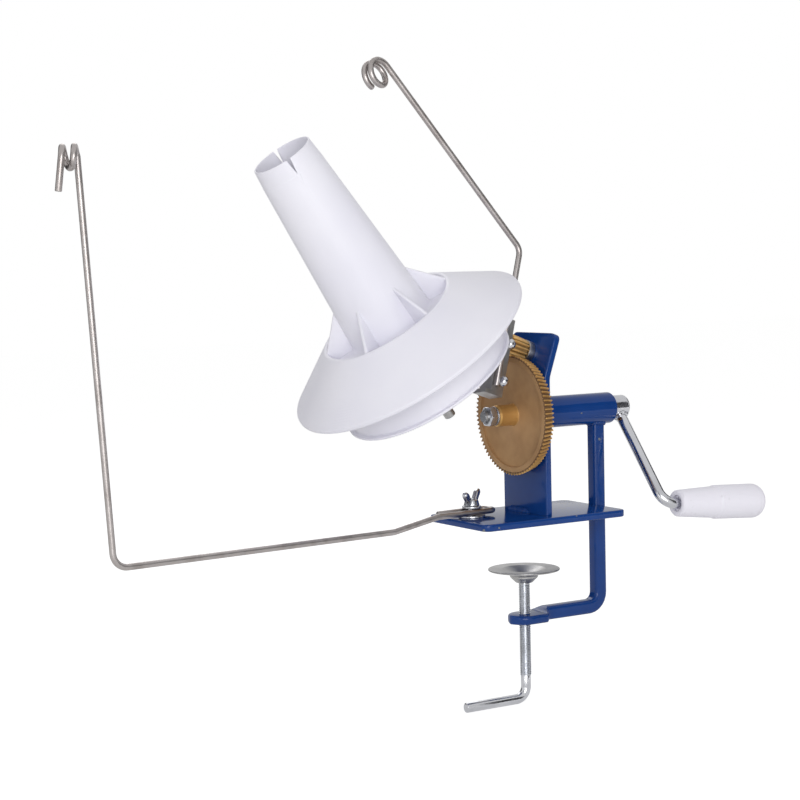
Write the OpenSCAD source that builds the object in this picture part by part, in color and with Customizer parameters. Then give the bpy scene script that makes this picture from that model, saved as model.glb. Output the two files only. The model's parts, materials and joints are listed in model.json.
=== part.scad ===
// Hand-cranked yarn ball winder that clamps to a table edge.
// A crank turns a large bevel gear. Its pinion whirls a bent wire round a tilted cone,
// which creeps round on its own axle, so the yarn lies on the cone as a ball.
// Millimetres, +Z up, -X towards the cone, +X towards the crank. The origin lies on the
// underside of the base plate, where the axis of the clamp screw meets it.

/* [Plates] */
// Thickness of the base plate and of the upright
plate_t = 5; // [4:0.5:8]
// Length of the base plate along X
base_l = 122; // [100:1:160]
// Width of the base plate along Y
base_w = 73; // [60:1:100]
// Reach of the base plate in front of the clamp screw
base_front = 57; // [50:1:70]
// Corner radius of the base plate
base_corner_r = 6; // [2:0.5:12]
// Width of the upright
upright_w = 52; // [44:1:60]
// Front face of the upright, measured from the clamp screw
upright_x = 2; // [0:0.5:6]
// Height at which the upright leans back
bend_z = 102; // [98:0.5:106]
// Length of the part of the upright that leans back
upper_len = 32; // [28:0.5:40]
// Corner radius at the top of the upright
upright_corner_r = 5; // [2:0.5:8]

/* [Bevel gears] */
// Height of the crank shaft above the underside
shaft_z = 75; // [70:0.5:80]
// Tilt of the flyer axle above the level crank shaft
tilt = 19; // [16:0.5:20]
// Teeth of the drive gear
gear_teeth = 84; // [72:2:96]
// Teeth of the pinion
pinion_teeth = 14; // [12:2:16]
// Tooth module at the front of the drive gear
tooth_module = 1; // [0.9:0.05:1.1]
// Face width of the drive gear
gear_face = 8.5; // [6:0.5:10]
// Play between the tooth flanks
backlash = 0.36; // [0.3:0.02:0.5]
// Length of the pinion in front of the large end of the teeth
pinion_front = 3.7; // [2:0.1:5]
// Length of the pinion
pinion_l = 14; // [12:0.5:16]
// Depth of the dished face of the drive gear
gear_dish = 2.2; // [1:0.1:4]
// Width of the flat rim of the drive gear
gear_rim_w = 5; // [3:0.5:8]
// Diameter of the gear boss
boss_d = 15; // [13:0.5:18]
// Length of the gear boss in front of the gear
boss_l = 13; // [10:0.5:13]

/* [Crank] */
// Diameter of the crank shaft in its bushes
shaft_d = 12; // [10:0.5:14]
// Diameter of the shaft nose that carries the gear
nose_d = 8; // [6:0.5:9]
// Outer diameter of the bearing tube
tube_d = 22.5; // [20:0.5:26]
// Inner diameter of the bearing tube
tube_bore = 18; // [16:0.5:20]
// Length of the bearing tube
tube_l = 71; // [64:1:80]
// Length of each bearing bush
bush_l = 16; // [10:1:25]
// Diameter of the crank rod
crank_d = 8; // [6:0.5:10]
// Distance from the shaft to the grip pin
crank_r = 84.5; // [70:0.5:95]
// Angle of the crank from straight down, towards the viewer
crank_angle = 38.5; // [0:0.5:90]
// Bend radius of the crank rod
crank_bend = 11; // [9:0.5:16]
// Angle of the bend between the crank arm and the grip pin
crank_turn = 86; // [80:1:90]
// Length of the hand grip
grip_l = 76; // [65:1:90]
// Largest diameter of the hand grip
grip_d = 25; // [22:0.5:30]
// Diameter of the narrow end of the grip
grip_neck_d = 19; // [17:0.5:22]
// Diameter of the pin inside the grip
pin_d = 6; // [5:0.5:7]

/* [Flyer] */
// Diameter of the fixed flyer axle
axle_d = 6; // [5:0.5:6]
// Diameter of the axle tip that is held in the cone bracket
axle_tip_d = 5; // [4:0.1:5]
// Outer diameter of the sleeve that turns on the axle
sleeve_d = 9; // [8.5:0.1:9.2]
// Diameter of the steel wire of flyer and guide
wire_d = 4.2; // [3.5:0.1:5]
// Width of the flyer bar
bar_w = 14; // [12:0.5:16]
// Thickness of the flyer bar
bar_t = 10; // [8:0.5:11]
// Reach of the bar below the axle
bar_low = 40; // [36:0.5:41]
// Reach of the bar above the axle
bar_high = 16; // [10:0.5:20]
// Lower end of the flyer wire, below the axle
wire_low = 34; // [30:0.5:38]
// Distance from the axle to the bend of the flyer wire
wire_bend_p = 66; // [60:0.5:75]
// Angle of the bend in the flyer wire
wire_bend_a = 57; // [53:0.5:62]
// Length of flyer wire beyond the bend
wire_reach = 161; // [140:1:175]
// Turn of the flyer from upright when at rest
flyer_rest = 8; // [0:1:20]
// Mean radius of the flyer eyelet
flyer_eye_r = 8.6; // [7:0.1:9]
// Sideways step of each turn of the flyer eyelet
flyer_eye_step = 5.7; // [4.8:0.1:8]
// Turn of the flyer eyelet about its wire
flyer_eye_turn = 20; // [0:1:45]
// Width of the rubber friction ring
ring_w = 5; // [4:0.5:6]

/* [Cone] */
// Elevation of the cone axis
cone_tilt = 54.5; // [53:0.5:56]
// Centre of the flange rim, ahead of the clamp screw
cone_x = 94; // [93:0.5:96]
// Height of the centre of the flange rim
cone_z = 125.5; // [124:0.5:127]
// Radius of the flange
flange_r = 88; // [80:0.5:90]
// Height of the well rim above the flange rim
well_h = 28; // [20:1:32]
// Radius of the well rim
well_r = 49; // [44:0.5:54]
// Depth of the well
well_d = 7.5; // [5:0.5:10]
// Wall thickness of the plastic parts
wall = 2.5; // [2:0.1:3.5]
// Height of the cone top above the flange rim
cone_h = 159.5; // [140:0.5:180]
// Outer radius at the top of the cone
cone_top_r = 21; // [18:0.5:24]
// Outer radius at the foot of the cone
cone_foot_r = 30.5; // [28:0.5:36]
// Number of ribs round the foot of the cone
rib_count = 6; // [4:1:8]
// Turn of the ribs about the cone axis
rib_turn = 34; // [0:1:60]
// Turn of the slits about the cone axis
slit_turn = -20; // [-90:1:90]
// Thickness of the ribs
rib_t = 2.2; // [1.5:0.1:3]
// Height of the ribs above the well rim
rib_h = 24; // [15:1:30]
// Depth of the two slits in the cone top
slit_d = 11; // [6:0.5:16]
// Width of the slits at the top edge
slit_w = 3; // [2:0.1:4]
// Outer radius of the drum wall
drum_r = 60; // [56:0.5:62]
// Radius of the lip below the drum
lip_r = 63.5; // [63:0.1:65]
// Thickness of the lip
lip_t = 2; // [1.5:0.1:3]
// Depth of the lip below the flange rim
drum_depth = 29; // [27:0.5:30]
// Diameter of the cone axle
cone_axle_d = 8; // [6:0.5:10]
// Thickness of the steel cone bracket
bracket_t = 4; // [3:0.5:5]
// Width of the cone bracket
bracket_w = 22; // [18:1:28]
// Space between the drum lip and the bracket
bracket_drop = 8; // [6:0.5:12]

/* [Clamp] */
// Side of the square clamp bar
bar_s = 10; // [8:0.5:12]
// Corner radius of the clamp bar section
bar_r = 3; // [1:0.5:4]
// Distance from the clamp screw to the upright leg of the bar
leg_x = 66; // [60:0.5:72]
// Centre height of the lower arm of the bar
arm_z = -69; // [-80:0.5:-66]
// Inner bend radius of the bar
elbow_r = 5; // [4:0.5:10]
// Thickness of the flat paddle
paddle_t = 7; // [6:0.5:9]
// Width of the flat paddle
paddle_w = 24; // [20:1:30]
// Diameter of the clamp screw
screw_d = 8; // [6:0.5:10]
// Thread pitch of the clamp screw
screw_pitch = 1.25; // [1:0.25:1.5]
// Top of the pressure pad below the underside, at rest
pad_gap = 35; // [20:1:45]
// Diameter of the pressure pad
pad_d = 51; // [40:1:60]
// Depth of the dished pad rim
pad_dish = 5; // [3:0.5:7]
// Sheet thickness of the pad
pad_t = 1.6; // [1:0.1:2.5]
// Length of the clamp screw below the pad
screw_l = 83; // [76:1:100]
// Length of the clamp handle
handle_l = 52; // [40:1:60]

/* [Yarn guide] */
// Stud of the guide, in front of the clamp screw
stud_x = 41; // [36:0.5:44]
// Stud of the guide, away from the viewer
stud_y = 4; // [-10:1:10]
// Diameter of the stud
stud_d = 6; // [5:0.5:8]
// Outer diameter of the guide washers
guide_washer_d = 19; // [17:0.5:24]
// Thickness of the guide washers
guide_washer_t = 1.5; // [1:0.1:2.5]
// Heading of the guide wire, turned towards the viewer
guide_heading = 5; // [-10:0.5:10]
// Distance from the stud to the closed end of the hairpin
hairpin_back = 17; // [14:0.5:22]
// Distance from the stud to the cut end of the hairpin
hairpin_front = 26; // [20:0.5:30]
// Distance from the stud to the start of the jog
jog_start = 34; // [28:0.5:36]
// Run of the jog
jog_l = 38; // [20:1:45]
// Clearance of the guide wire above the table
guide_lift = 0.4; // [0.3:0.1:2]
// Distance from the stud to the corner of the guide wire
guide_reach = 285; // [250:0.5:300]
// Bend radius of the guide wire corner
guide_bend = 10; // [8:1:16]
// Height of the guide eyelet above the table
guide_h = 252; // [220:0.5:270]
// Outward lean of the upright part of the guide
guide_lean = 3.5; // [0:0.5:6]
// Mean radius of the guide eyelet
guide_eye_r = 6.2; // [5.5:0.1:9]
// Sideways step of each turn of the guide eyelet
guide_eye_step = 7.2; // [5:0.1:10]
// Turn of the guide eyelet about its post, towards the viewer
guide_eye_turn = 70; // [0:1:90]
// Length of the tail of the guide eyelet
tail_l = 20; // [8:1:26]

/* [Fits] */
// Radial clearance of a running fit
run_fit = 0.06; // [0.03:0.01:0.1]
// Gap kept between pieces that move past each other
move_gap = 0.4; // [0.3:0.05:0.6]
// Gap between the friction ring and the drum lip
roll_gap = 0.35; // [0.3:0.05:0.5]

/* [Hidden] */
$fn = 96;

// Bevel pair: both pitch cones meet at one apex on the crank axis
ratio = gear_teeth / pinion_teeth;
pinion_cone = atan(sin(tilt) / (ratio + cos(tilt)));
gear_cone = tilt - pinion_cone;
gear_pitch_r = gear_teeth * tooth_module / 2;
apex_run = gear_pitch_r / tan(gear_cone);
washer_t = 2.4;
thin_washer_t = 1.5;
thread_tail = 2;
gear_back_x = upright_x - washer_t - move_gap;
gear_front_x = gear_back_x - gear_face;
apex_x = gear_front_x + apex_run;
// Distances along the flyer axis, measured from the apex
mesh_s = gear_pitch_r / sin(gear_cone) * cos(pinion_cone);
pinion_s = mesh_s + pinion_front;
pinion_back_s = pinion_s - pinion_l;
face_s = (apex_x - upright_x) * cos(tilt) + (bend_z - shaft_z) * sin(tilt);
spacer_t = 2;
bar_s0 = pinion_s + spacer_t;
wire_s = bar_s0 + bar_t - wire_d / 2;
wire_y = -(bar_w + wire_d) / 2;

// The cone seen from the flyer axis: s along it, p above it
cone_lean = cone_tilt - tilt;
cone_s = (apex_x + cone_x) * cos(tilt) + (cone_z - shaft_z) * sin(tilt);
cone_p = (cone_z - shaft_z) * cos(tilt) - (apex_x + cone_x) * sin(tilt);
lip_s = cone_s - drum_depth * cos(cone_lean) - lip_r * sin(cone_lean);
lip_p = cone_p - drum_depth * sin(cone_lean) + lip_r * cos(cone_lean);
ring_r = lip_p - roll_gap;
ring_s = lip_s - ring_w - roll_gap / 2;
sleeve_end_s = lip_s + move_gap;
bracket_s = sleeve_end_s + move_gap;
axle_end_s = bracket_s + bracket_t;
axle_back_s = face_s - plate_t - thin_washer_t - nut_h(axle_d) - thread_tail;
bracket_h = -drum_depth - bracket_drop;
// Where the front face of the upper leg meets the top face of the lower leg
leg_rho = (cone_s + bracket_h * cos(cone_lean) - axle_end_s) / sin(cone_lean);
bracket_top_p = 1;
// A point at height h and radius rho of the cone, given as p and s
function strip_point(h, rho) = [
  cone_p + h * sin(cone_lean) + rho * cos(cone_lean),
  cone_s + h * cos(cone_lean) - rho * sin(cone_lean)];

// Standard nuts: width across flats and height for a thread
function flats(d) = d < 7 ? 10 : 13;
function nut_h(d) = 0.8 * d;

crank_x = upright_x + plate_t + tube_l + move_gap + crank_d / 2 + 3;
hub_l = crank_d + 6;
hub_d = shaft_d + 5;
hub_end = 2;
bend_run = crank_bend * tan(crank_turn / 2);
grip_start = bend_run + move_gap;
pin_l = grip_l - 14;
// The pin starts a little inside the end of the bend
pin_root = 1;
cap_t = 8;
cavity_d = 13;
pad_hub_h = 5;
screw_top = -pad_gap - pad_dish - pad_hub_h - move_gap;
tip_d = screw_d - 2;
screw_handle_r = 8;
guide_z = plate_t + guide_washer_t + move_gap + wire_d / 2;
leg_half = (stud_d + wire_d) / 2 + move_gap;
run_z = wire_d / 2 + guide_lift;
top_washer_z = guide_z + wire_d / 2 + move_gap;
wing_z = top_washer_z + guide_washer_t;
wing_hub_h = 7;

// Frames: each puts local Z along an axis and local X on its upper side
module on_flyer(s = 0) {
  translate([apex_x, 0, shaft_z])
    rotate([0, tilt - 90, 0])
      translate([0, 0, s])
        children();
}

module on_flyer_rest(s = 0) {
  on_flyer(s)
    rotate([0, 0, flyer_rest])
      children();
}

module on_shaft(x = 0) {
  translate([x, 0, shaft_z])
    rotate([0, -90, 0])
      children();
}

module on_cone(h = 0) {
  translate([-cone_x, 0, cone_z])
    rotate([0, cone_tilt - 90, 0])
      translate([0, 0, h])
        children();
}

module on_guide() {
  translate([-stud_x, stud_y, 0])
    rotate([0, 0, guide_heading])
      children();
}

// Plain shapes used again and again
module rod(d, l) {
  cylinder(d = d, h = l);
}

module pipe(d, bore, l) {
  difference() {
    cylinder(d = d, h = l);
    translate([0, 0, -1])
      cylinder(d = bore, h = l + 2);
  }
}

module hex_nut(d) {
  difference() {
    cylinder(d = flats(d) / cos(30), h = nut_h(d), $fn = 6);
    translate([0, 0, -1])
      cylinder(d = d, h = nut_h(d) + 2);
  }
}

// A round bar that starts upwards at the origin and turns towards +X
module bend(d, r, a) {
  translate([r, 0, 0])
    rotate([90, 0, 180])
      rotate_extrude(angle = a)
        translate([r, 0])
          circle(d = d, $fn = 48);
}

module past_bend(r, a) {
  translate([r * (1 - cos(a)), 0, r * sin(a)])
    rotate([0, a, 0])
      children();
}

// A wire is one tube swept along a list of points. Each ring keeps the turn of the ring
// before it, laid square to the mean direction of the two pieces that meet there
wire_sides = 14;
function unit(v) = v / norm(v);
function heading_at(p, i) = unit(
  (i > 0 ? unit(p[i] - p[i - 1]) : [0, 0, 0])
  + (i < len(p) - 1 ? unit(p[i + 1] - p[i]) : [0, 0, 0]));
function side_at(t, before) = unit(before - (before * t) * t);
function ring(c, t, n, r) = [
  for (k = [0:wire_sides - 1])
    let (a = 360 * k / wire_sides)
    c + r * (cos(a) * n + sin(a) * cross(t, n))];

module wire(path, across) {
  last = len(path) - 1;
  n = wire_sides;
  sides = [
    for (i = 0, v = side_at(heading_at(path, 0), across);
      i <= last;
      i = i + 1, v = side_at(heading_at(path, min(i, last)), v))
      v];
  points = [for (i = [0:last]) each ring(path[i], heading_at(path, i), sides[i], wire_d / 2)];
  walls = [
    for (i = [0:last - 1], k = [0:n - 1])
      let (a = i * n + k, b = i * n + (k + 1) % n)
      each [[a, a + n, b + n], [a, b + n, b]]];
  polyhedron(
    points,
    concat(walls, [[for (k = [0:n - 1]) k]], [[for (k = [n - 1:-1:0]) last * n + k]]),
    convexity = 6);
}

// Points of a coil of radius r that leaves e along u, curls towards v and steps along w
coil_step_a = 18;
function coil(e, u, v, w, r, step, turn) = [
  for (a = [coil_step_a:coil_step_a:turn])
    e + r * ((1 - cos(a)) * v + sin(a) * u) + a / 360 * step * w];

// Points of a bend of radius r that leaves e along u and turns by a towards v
function curve(e, u, v, r, a, n) = [
  for (k = [0:n])
    e + r * ((1 - cos(a * k / n)) * v + sin(a * k / n) * u)];

// Tooth flank: involute above the base circle, radial below it
function inv(a) = tan(a) * 180 / PI - a;
function flank(r, rb) = r > rb ? inv(acos(rb / r)) : 0;
function half_angle(r, rp, n, play) =
  90 / n - play / 2 / rp * 180 / PI + inv(20) - flank(r, rp * cos(20));

function tooth(a, rp, n, radii, play) = concat(
  [for (r = radii) let (b = a - half_angle(r, rp, n, play)) r * [cos(b), sin(b)]],
  [for (i = [len(radii) - 1:-1:0])
    let (r = radii[i], b = a + half_angle(r, rp, n, play)) r * [cos(b), sin(b)]]);

function gear_points(rp, n, play) = let (
  m = 2 * rp / n,
  radii = [rp - 1.25 * m, rp - 0.45 * m, rp + 0.2 * m, rp + 0.9 * m])
  [for (k = [0:n - 1]) each tooth(360 * k / n, rp, n, radii, play)];

// Straight bevel teeth: the large outline shrinks towards the apex
module bevel_teeth(rp, n, play, l, apex) {
  linear_extrude(height = l, scale = 1 - l / apex)
    polygon(gear_points(rp, n, play));
}

// Frame pieces
module base_plate() {
  color([0.10, 0.25, 0.52])
    difference() {
      linear_extrude(height = plate_t)
        translate([-base_front, -base_w / 2])
          rounded(base_l, base_w, base_corner_r);
      translate([leg_x, 0, -1])
        linear_extrude(height = plate_t + 2)
          translate([-bar_s / 2 - move_gap, -bar_s / 2 - move_gap])
            square(bar_s + 2 * move_gap);
      translate([-stud_x, stud_y, -1])
        cylinder(d = stud_d, h = plate_t + 2);
      translate([-stud_x, stud_y, -stud_d / 2])
        cylinder(d1 = 3 * stud_d, d2 = 0, h = 1.5 * stud_d);
    }
}

module rounded(l, w, r) {
  translate([r, 0])
    square([l - 2 * r, w]);
  translate([0, r])
    square([l, w - 2 * r]);
  for (x = [r, l - r], y = [r, w - r])
    translate([x, y])
      circle(r = r);
}

module upright_plate() {
  color([0.10, 0.25, 0.52])
    difference() {
      union() {
        translate([upright_x, -upright_w / 2, plate_t])
          cube([plate_t, upright_w, bend_z - plate_t]);
        translate([upright_x, 0, bend_z])
          rotate([0, tilt, 0])
            upper_leaf();
      }
      on_shaft(upright_x + plate_t + 1)
        rod(shaft_d + 2, plate_t + 2);
      on_flyer(face_s - plate_t - 1)
        rod(axle_d + 2 * run_fit, plate_t + 2);
    }
}

// The leaf above the bend, with rounded top corners
module upper_leaf() {
  r = upright_corner_r;
  rotate([90, 0, 90])
    linear_extrude(height = plate_t) {
      translate([-upright_w / 2, 0])
        square([upright_w, upper_len - r]);
      translate([r - upright_w / 2, 0])
        square([upright_w - 2 * r, upper_len]);
      for (y = [r - upright_w / 2, upright_w / 2 - r])
        translate([y, upper_len - r])
          circle(r = r);
    }
}

module bearing_tube() {
  color([0.10, 0.25, 0.52])
    on_shaft(upright_x + plate_t + tube_l)
      pipe(tube_d, tube_bore, tube_l);
}

module front_bush() {
  color([0.72, 0.55, 0.30])
    on_shaft(upright_x + plate_t + bush_l)
      pipe(tube_bore, shaft_d + 2 * run_fit, bush_l);
}

module rear_bush() {
  color([0.72, 0.55, 0.30])
    on_shaft(upright_x + plate_t + tube_l)
      pipe(tube_bore, shaft_d + 2 * run_fit, bush_l);
}

module thrust_washer() {
  color([0.75, 0.75, 0.76])
    on_shaft(upright_x)
      pipe(2 * shaft_d, shaft_d + 2 * run_fit, washer_t);
}

// Section of the clamp bar
module bar_section() {
  translate([-bar_s / 2, -bar_s / 2])
    rounded(bar_s, bar_s, bar_r);
}

module clamp_bar() {
  turn_r = elbow_r + bar_s / 2;
  leg_top = shaft_z - sqrt(pow(tube_d / 2, 2) - pow(bar_s / 2, 2)) + 1;
  color([0.10, 0.25, 0.52])
    difference() {
      union() {
        translate([leg_x, 0, arm_z + turn_r])
          linear_extrude(height = leg_top - arm_z - turn_r)
            bar_section();
        translate([leg_x - turn_r, 0, arm_z + turn_r])
          rotate([90, 0, 0])
            rotate([0, 0, -90])
              rotate_extrude(angle = 90)
                translate([turn_r, 0])
                  bar_section();
        translate([paddle_w / 2, 0, arm_z])
          rotate([0, 90, 0])
            linear_extrude(height = leg_x - turn_r - paddle_w / 2)
              bar_section();
        translate([0, 0, arm_z - paddle_t / 2])
          cylinder(d = paddle_w, h = paddle_t);
        translate([0, -bar_s / 2, arm_z - paddle_t / 2])
          cube([paddle_w / 2 + 2, bar_s, paddle_t]);
      }
      translate([0, 0, arm_z - paddle_t])
        rod(screw_d + 2 * run_fit, 2 * paddle_t);
      on_shaft(leg_x + bar_s)
        rod(tube_d, 2 * bar_s);
    }
}

module flyer_axle() {
  color([0.78, 0.78, 0.79])
    on_flyer(axle_back_s) {
      rod(axle_d, bracket_s - axle_back_s);
      rod(axle_tip_d, axle_end_s - axle_back_s);
    }
}

module axle_washer() {
  color([0.75, 0.75, 0.76])
    on_flyer(face_s - plate_t - thin_washer_t)
      pipe(2.4 * axle_d, axle_d, thin_washer_t);
}

module axle_nut() {
  color([0.78, 0.80, 0.84])
    on_flyer(face_s - plate_t - thin_washer_t - nut_h(axle_d))
      hex_nut(axle_d);
}

module axle_collar() {
  color([0.78, 0.78, 0.79])
    on_flyer(face_s)
      pipe(2.5 * axle_d, axle_d, pinion_back_s - move_gap - face_s);
}

// Bent strip: the upper leg is notched for the flyer axle, the lower leg carries the cone
module cone_bracket() {
  under_h = bracket_h - bracket_t;
  under_rho = (cone_s + under_h * cos(cone_lean) - bracket_s) / sin(cone_lean);
  free_rho = -bracket_w / 2;
  color([0.72, 0.72, 0.73])
    difference() {
      on_flyer()
        translate([0, bracket_w / 2, 0])
          rotate([90, 0, 0])
            linear_extrude(height = bracket_w)
              polygon([
                [bracket_top_p, bracket_s], [bracket_top_p, axle_end_s],
                strip_point(bracket_h, leg_rho), strip_point(bracket_h, free_rho),
                strip_point(under_h, free_rho), strip_point(under_h, under_rho)]);
      on_flyer(bracket_s - 1)
        rod(axle_tip_d, bracket_t + 2);
      on_cone(under_h - 1)
        rod(cone_axle_d, bracket_t + 2);
    }
}

boss_h = 58;
boss_low = 6 - drum_depth;
// Thread of the cone axle that stands out below its lower nut
cone_axle_tail = 11;

module cone_axle() {
  low = bracket_h - bracket_t - nut_h(cone_axle_d) - cone_axle_tail;
  color([0.80, 0.80, 0.82])
    on_cone(low)
      rod(cone_axle_d, boss_h + move_gap + nut_h(cone_axle_d) + 3 - low);
}

module axle_spacer() {
  color([0.75, 0.75, 0.76])
    on_cone(bracket_h)
      pipe(cone_axle_d + 6, cone_axle_d, boss_low - move_gap - bracket_h);
}

module lower_nut() {
  color([0.78, 0.80, 0.84])
    on_cone(bracket_h - bracket_t - nut_h(cone_axle_d))
      hex_nut(cone_axle_d);
}

module top_nut() {
  color([0.78, 0.80, 0.84])
    on_cone(boss_h + move_gap)
      hex_nut(cone_axle_d);
}

// Flat-headed stud that lies flush with the underside
module guide_stud() {
  color([0.78, 0.78, 0.79])
    translate([-stud_x, stud_y, 0]) {
      cylinder(d1 = 2 * stud_d, d2 = stud_d, h = stud_d / 2);
      rod(stud_d, wing_z + wing_hub_h + 2);
    }
}

// Crank pieces
module crank_shaft() {
  nose_end = gear_front_x - boss_l - thin_washer_t - nut_h(nose_d) - thread_tail;
  color([0.80, 0.80, 0.82]) {
    on_shaft(crank_x + hub_l / 2 - hub_end)
      rod(shaft_d, crank_x + hub_l / 2 - hub_end - gear_back_x);
    on_shaft(gear_back_x)
      rod(nose_d, gear_back_x - nose_end);
  }
}

module crank_hub() {
  color([0.82, 0.82, 0.84])
    difference() {
      on_shaft(crank_x + hub_l / 2)
        rod(hub_d, hub_l);
      on_shaft(crank_x + hub_l / 2 - hub_end)
        rod(shaft_d, hub_l);
      crank_swing()
        rod(crank_d, hub_d);
    }
}

// Local Z runs from the shaft along the crank arm, local X lies on the side of the grip
module crank_swing() {
  translate([crank_x, 0, shaft_z])
    rotate([180 - crank_angle, 0, 0])
      children();
}

module crank_arm() {
  color([0.82, 0.82, 0.84])
    crank_swing() {
      translate([0, 0, shaft_d / 2])
        rod(crank_d, crank_r - bend_run - shaft_d / 2);
      translate([0, 0, crank_r - bend_run]) {
        bend(crank_d, crank_bend, crank_turn);
        past_bend(crank_bend, crank_turn)
          translate([0, 0, -pin_root])
            rod(pin_d, pin_l + pin_root);
      }
    }
}

module on_grip(s = 0) {
  crank_swing()
    translate([0, 0, crank_r])
      rotate([0, crank_turn, 0])
        translate([0, 0, grip_start + s])
          children();
}

module grip_nut() {
  color([0.78, 0.80, 0.84])
    on_grip(pin_l - move_gap - nut_h(pin_d))
      difference() {
        cylinder(d = 10, h = nut_h(pin_d));
        translate([0, 0, -1])
          cylinder(d = pin_d, h = nut_h(pin_d) + 2);
      }
}

// Turned plastic grip: a tapered front part, a step and a fuller rear part
module hand_grip() {
  step = 0.43 * grip_l;
  hold = pin_l - 2 * move_gap - nut_h(pin_d);
  color([0.92, 0.91, 0.95])
    on_grip()
      difference() {
        union() {
          cylinder(d1 = grip_neck_d, d2 = grip_d - 2, h = step);
          translate([0, 0, step])
            cylinder(d1 = grip_d - 0.6, d2 = grip_d, h = grip_l - cap_t - step);
        }
        translate([0, 0, -1])
          cylinder(d = pin_d + 2 * run_fit, h = grip_l);
        translate([0, 0, hold])
          cylinder(d = cavity_d, h = grip_l);
        translate([0, 0, -1])
          cylinder(d = crank_d + 2, h = 4);
      }
}

// Rounded end of the grip, pushed into the cavity
module grip_cap() {
  r = grip_d / 2;
  hold = pin_l + 2 * move_gap + 1;
  color([0.92, 0.91, 0.95])
    on_grip() {
      translate([0, 0, grip_l - cap_t])
        rotate_extrude()
          intersection() {
            union() {
              square([r - cap_t, cap_t]);
              translate([r - cap_t, 0])
                circle(r = cap_t);
            }
            square([r, cap_t]);
          }
      translate([0, 0, hold])
        cylinder(d = cavity_d, h = grip_l - cap_t - hold);
    }
}

module drive_gear() {
  root = gear_pitch_r - 1.25 * tooth_module;
  color([0.62, 0.47, 0.28])
    on_shaft(gear_front_x)
      rotate([180, 0, 0])
        difference() {
          union() {
            bevel_teeth(gear_pitch_r, gear_teeth, backlash, gear_face, apex_run);
            translate([0, 0, -boss_l])
              cylinder(d = boss_d, h = boss_l + gear_face);
          }
          translate([0, 0, -1])
            difference() {
              cylinder(r = root - gear_rim_w, h = gear_dish + 1);
              translate([0, 0, -1])
                cylinder(d = boss_d, h = gear_dish + 3);
            }
          translate([0, 0, -boss_l - 1])
            cylinder(d = nose_d, h = boss_l + gear_face + 2);
        }
}

module gear_washer() {
  color([0.75, 0.75, 0.76])
    on_shaft(gear_front_x - boss_l)
      pipe(2 * nose_d, nose_d, thin_washer_t);
}

module gear_nut() {
  color([0.78, 0.80, 0.84])
    on_shaft(gear_front_x - boss_l - thin_washer_t)
      hex_nut(nose_d);
}

// Flyer pieces
module pinion() {
  rp = pinion_s * tan(pinion_cone);
  color([0.78, 0.60, 0.30])
    on_flyer(pinion_s)
      rotate([180, 0, 0])
        rotate([0, 0, 180 / pinion_teeth])
          difference() {
            bevel_teeth(rp, pinion_teeth, backlash, pinion_l, pinion_s);
            translate([0, 0, -1])
              cylinder(d = sleeve_d, h = pinion_l + 2);
          }
}

module flyer_sleeve() {
  color([0.75, 0.75, 0.76])
    on_flyer(pinion_back_s)
      pipe(sleeve_d, axle_d + 2 * run_fit, sleeve_end_s - pinion_back_s);
}

module bar_spacer() {
  color([0.75, 0.75, 0.76])
    on_flyer(pinion_s)
      pipe(sleeve_d + 4, sleeve_d, spacer_t);
}

bar_screw_d = 4;
bar_screw_s = wire_s - wire_d / 2 - bar_screw_d / 2;
screw_places = [-3, -30];
screw_grips = [1.2, 7];

module flyer_bar() {
  lip_l = 5;
  color([0.70, 0.70, 0.71])
    on_flyer_rest(bar_s0)
      difference() {
        union() {
          translate([-bar_low, -bar_w / 2, 0])
            cube([bar_low + bar_high, bar_w, bar_t]);
          translate([-bar_low, -bar_w / 2, 0])
            cube([3, bar_w, bar_t + lip_l]);
        }
        translate([0, 0, -1])
          rod(sleeve_d, bar_t + 2);
        for (k = [0, 1])
          translate([screw_places[k], -bar_w / 2 - 1, bar_screw_s - bar_s0])
            rotate([-90, 0, 0])
              rod(bar_screw_d, screw_grips[k] + 1);
      }
}

module flyer_wire() {
  r = 9;
  turn = 576;
  knee = wire_bend_p - r * tan(wire_bend_a / 2);
  u = [cos(wire_bend_a), 0, sin(wire_bend_a)];
  inward = [-sin(wire_bend_a), 0, cos(wire_bend_a)];
  v = cos(flyer_eye_turn) * inward - sin(flyer_eye_turn) * [0, 1, 0];
  w = sin(flyer_eye_turn) * inward + cos(flyer_eye_turn) * [0, 1, 0];
  arc = curve([knee, wire_y, wire_s], [1, 0, 0], [0, 0, 1], r, wire_bend_a, 6);
  tip = arc[6] + (wire_reach - r * tan(wire_bend_a / 2)) * u;
  color([0.66, 0.65, 0.63])
    on_flyer_rest()
      wire(concat([[-wire_low, wire_y, wire_s]], arc, [tip],
        coil(tip, u, v, w, flyer_eye_r, flyer_eye_step, turn)), [0, 1, 0]);
}

module bar_screw(k) {
  head_r = 3.9;
  color([0.80, 0.80, 0.82])
    on_flyer_rest(bar_screw_s)
      translate([screw_places[k], -bar_w / 2 - wire_d, 0])
        rotate([-90, 0, 0]) {
          rod(bar_screw_d, wire_d + screw_grips[k]);
          difference() {
            sphere(r = head_r, $fn = 48);
            cylinder(r = 2 * head_r, h = 2 * head_r);
          }
        }
}

module upper_screw() {
  bar_screw(0);
}

module lower_screw() {
  bar_screw(1);
}

module friction_ring() {
  color([0.10, 0.10, 0.11])
    on_flyer(ring_s)
      pipe(2 * ring_r, sleeve_d, ring_w);
}

// Cone pieces
function flange_top(r) = well_h * (flange_r - r) / (flange_r - well_r);
floor_h = well_h - well_d - wall;

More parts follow.
